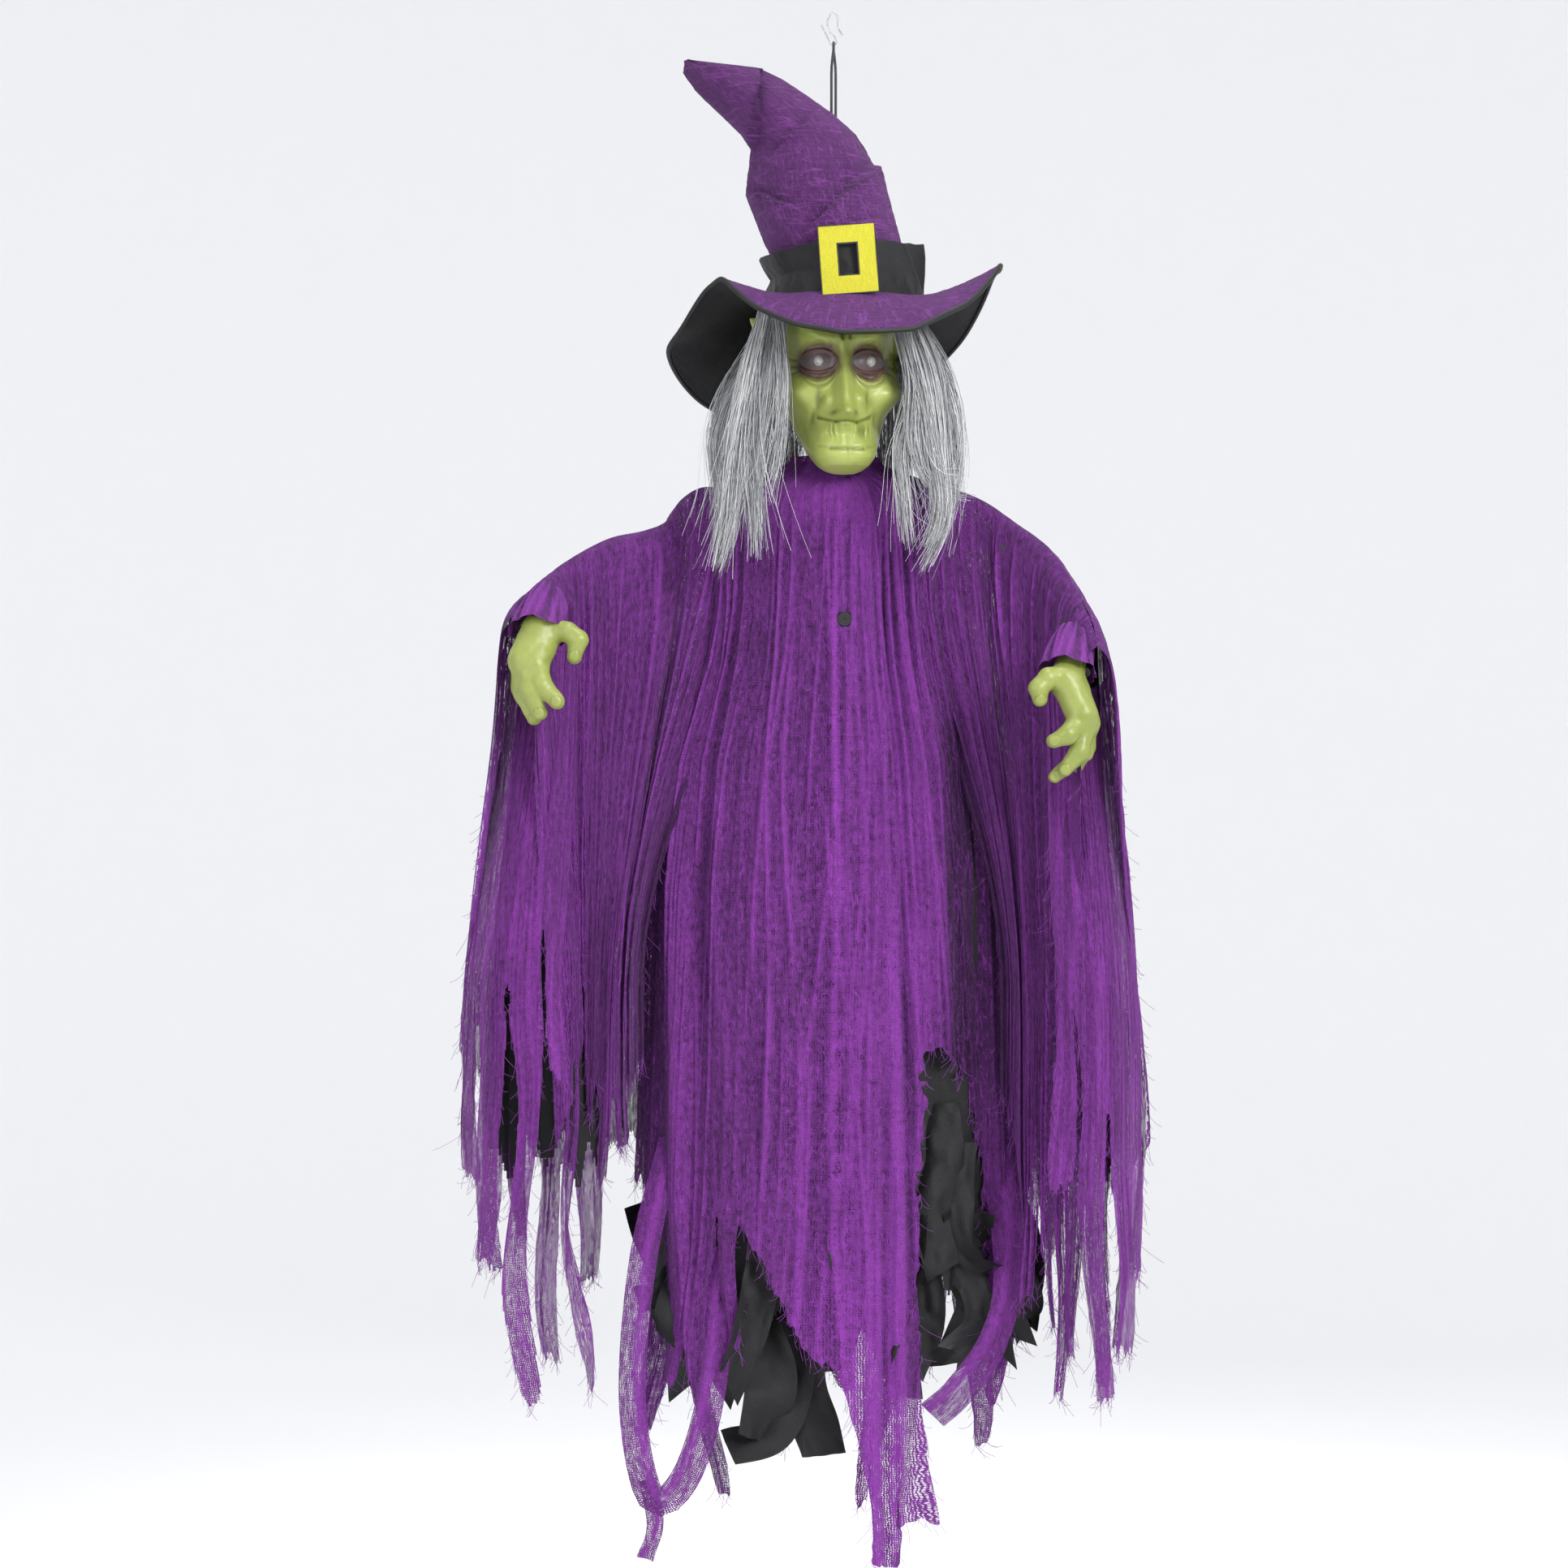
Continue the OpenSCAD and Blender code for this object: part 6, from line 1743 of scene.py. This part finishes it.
RIGHT_CLAW = [
    ((0.190, -0.122, -0.530), (0.186, -0.134, -0.540), 0.0125, 0.0130),
    ((0.186, -0.134, -0.540), (0.198, -0.140, -0.566), 0.0125, 0.0120),
    ((0.192, -0.130, -0.545), (0.201, -0.134, -0.572), 0.0120, 0.0112),
    ((0.184, -0.134, -0.537), (0.172, -0.142, -0.538), 0.0100, 0.0078),
    ((0.172, -0.142, -0.538), (0.1640, -0.145, -0.546), 0.0078, 0.0070),
    ((0.1640, -0.145, -0.546), (0.1655, -0.145, -0.5545), 0.0068, 0.0056),
    ((0.196, -0.140, -0.568), (0.187, -0.150, -0.581), 0.0088, 0.0070),
    ((0.187, -0.150, -0.581), (0.1755, -0.150, -0.5860), 0.0070, 0.0056),
    ((0.200, -0.136, -0.572), (0.196, -0.142, -0.593), 0.0086, 0.0070),
    ((0.196, -0.142, -0.593), (0.1845, -0.142, -0.6080), 0.0070, 0.0054),
    ((0.203, -0.130, -0.572), (0.200, -0.132, -0.594), 0.0080, 0.0066),
    ((0.200, -0.132, -0.594), (0.1775, -0.134, -0.6130), 0.0066, 0.0050),
    ((0.204, -0.122, -0.570), (0.203, -0.120, -0.590), 0.0074, 0.0062),
    ((0.203, -0.120, -0.590), (0.1960, -0.118, -0.6050), 0.0062, 0.0048),
]


def capsule_distance(points, a, b, ra, rb):
    a, b = np.array(a), np.array(b)
    d = b - a
    t = np.clip((points - a) @ d / (d @ d), 0, 1)
    return np.linalg.norm(points - a - t[:, None] * d, axis=1) - (ra + (rb - ra) * t)


def claw_distance(points, bones):
    """Smooth union of every bone, so that the fingers melt into the palm."""
    total = np.zeros(len(points))
    for bone in bones:
        total += np.exp(-capsule_distance(points, *bone) / 0.0011)
    return -0.0011 * np.log(np.maximum(total, 1e-300))


def shifted(bones, sideways):
    return [((a[0] + sideways, *a[1:]), (b[0] + sideways, *b[1:]), ra, rb) for a, b, ra, rb in bones]


def claw_surface(bones):
    """Builds capsules, joins them with a voxel remesh, then pulls them to the smooth union."""
    balls, faces, start = [], [], 0
    for a, b, ra, rb in bones:
        steps = np.linspace(0, 1, 9)
        path = np.array(a) + steps[:, None] * (np.array(b) - np.array(a))
        radius = ra + (rb - ra) * steps
        cap_a = np.array(a) - (path[1] - path[0]) / np.linalg.norm(path[1] - path[0]) * ra * 0.7
        cap_b = np.array(b) + (path[1] - path[0]) / np.linalg.norm(path[1] - path[0]) * rb * 0.7
        path = np.vstack([cap_a, path, cap_b])
        radius = np.concatenate([[ra * 0.6], radius, [rb * 0.6]])
        p, f = tube_mesh(path, radius, 20)
        first, last = len(p), len(p) + 1
        p = np.vstack([p, path[:1], path[-1:]])
        tail = (len(path) - 1) * 20
        caps = [(k, first, (k + 1) % 20) for k in range(20)]
        caps += [(tail + k, tail + (k + 1) % 20, last) for k in range(20)]
        faces += [tuple(q + start) for q in f] + [tuple(np.array(q) + start) for q in caps]
        balls.append(p)
        start += len(p)
    mesh = bpy.data.meshes.new("claw_draft")
    mesh.from_pydata(np.vstack(balls).tolist(), [], [tuple(int(i) for i in f) for f in faces])
    draft = bpy.data.objects.new("claw_draft", mesh)
    bpy.context.collection.objects.link(draft)
    remesh = draft.modifiers.new("join", "REMESH")
    remesh.mode = "VOXEL"
    remesh.voxel_size = 0.00085
    depsgraph = bpy.context.evaluated_depsgraph_get()
    solid = draft.evaluated_get(depsgraph).to_mesh()
    points = np.array([v.co[:] for v in solid.vertices])
    quads = [tuple(p.vertices) for p in solid.polygons]
    draft.evaluated_get(depsgraph).to_mesh_clear()
    bpy.data.objects.remove(draft)
    step = 0.0002
    for _ in range(8):
        here = claw_distance(points, bones)
        slope = np.column_stack([claw_distance(points + step * np.eye(3)[k], bones) - here
                                 for k in range(3)]) / step
        slope /= np.linalg.norm(slope, axis=1)[:, None] + 1e-9
        points = points - slope * here[:, None] * 0.7
    return points, quads, slope


# The palm and thumb come first in each claw; the finger bones follow.
PALM_BONES = 6


def make_hand(label, bones, tips, sideways):
    """A vinyl claw with knuckles, a mould seam along its front and a nail on every finger."""
    bones = shifted(bones, sideways)
    tips = [((tip[0] + sideways, *tip[1:]), away) for tip, away in tips]
    points, quads, normal = claw_surface(bones)
    knuckle = np.zeros(len(points))
    for a, _, ra, _ in bones[PALM_BONES:]:
        knuckle += bell(np.linalg.norm(points - np.array(a), axis=1), ra * 0.9)
    bumps = value_noise(points[:, 0] / 0.005, points[:, 2] / 0.005) - 0.5
    points = points + normal * (0.0008 * knuckle + 0.0007 * bumps)[:, None]
    seam = bell(normal[:, 1] + 0.30, 0.035) * (normal[:, 1] < 0)
    points = points + normal * (0.00035 * seam)[:, None]
    # painted shade: the whole claw is darkened a little because the lamps light it more than the face
    crease = np.full(len(points), 0.42)
    for tip, away in tips:
        at = np.linalg.norm(points - np.array(tip), axis=1)
        facing = normal @ np.array(away)
        nail = smooth_step(0.0048 - at, 0.0, 0.0005) * smooth_step(facing, 0.15, 0.4)
        ring = bell(at - 0.0048, 0.0006) * smooth_step(facing, 0.05, 0.3)
        points = points + normal * (0.0006 * nail - 0.0004 * ring)[:, None]
        # painted shade in the groove round the nail
        crease = np.maximum(crease, 0.7 * ring)
    none = np.zeros(len(points))
    hand = make_object(f"{label}_claw_vinyl", points, quads, "skin",
                       attributes={"crease": crease, "paint": none, "ball": none})
    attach(hand, f"{label}_arm")
    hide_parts(f"{label}_hand")
    return hand


make_hand("left", LEFT_CLAW, [((-0.2065, -0.128, -0.521), (0.2, -0.95, -0.1)),
                              ((-0.2195, -0.141, -0.556), (0.2, -0.95, -0.1)),
                              ((-0.2330, -0.135, -0.565), (0.0, -0.95, -0.2)),
                              ((-0.2375, -0.126, -0.568), (0.0, -0.95, -0.2))], 0.006)
make_hand("right", RIGHT_CLAW, [((0.1655, -0.149, -0.555), (-0.2, -0.95, -0.1)),
                                ((0.1755, -0.155, -0.586), (-0.2, -0.95, -0.1)),
                                ((0.1845, -0.146, -0.608), (0.0, -0.95, -0.2)),
                                ((0.1775, -0.138, -0.613), (0.0, -0.95, -0.2))], -0.010)
paint_node("left_arm_tube", "tube")
paint_node("right_arm_tube", "tube")

# ---------------------------------------------------------------- hook, cord and inner parts

NODE_PAINT = {
    "steel": ("case_screws", "gear_pins", "thrust_washer", "motor", "motor_shaft", "neck_tube",
              "shoulder_bar", "shoulder_bolts", "door_hinge_pin", "battery_contacts",
              "cord_anchor_pin"),
    "nylon": ("gear_plate", "motor_pinion", "first_gear", "second_gear", "neck_gear", "head_plate",
              "led_bracket", "chest_front_case", "chest_back_case", "battery_door", "battery_tray"),
    "case": ("switch_body", "switch_knob"),
    "cell": ("batteries",),
    "board": ("circuit_board",),
    "speaker": ("speaker",),
    "sensor": ("sound_sensor",),
    "wire": ("wire_hook",),
    "cord": ("hanging_cord",),
}
for material, names in NODE_PAINT.items():
    for node in names:
        paint_node(node, material)
for node in ("wire_hook", "hanging_cord", "left_arm_tube", "right_arm_tube"):
    NODES[node].data.shade_smooth()
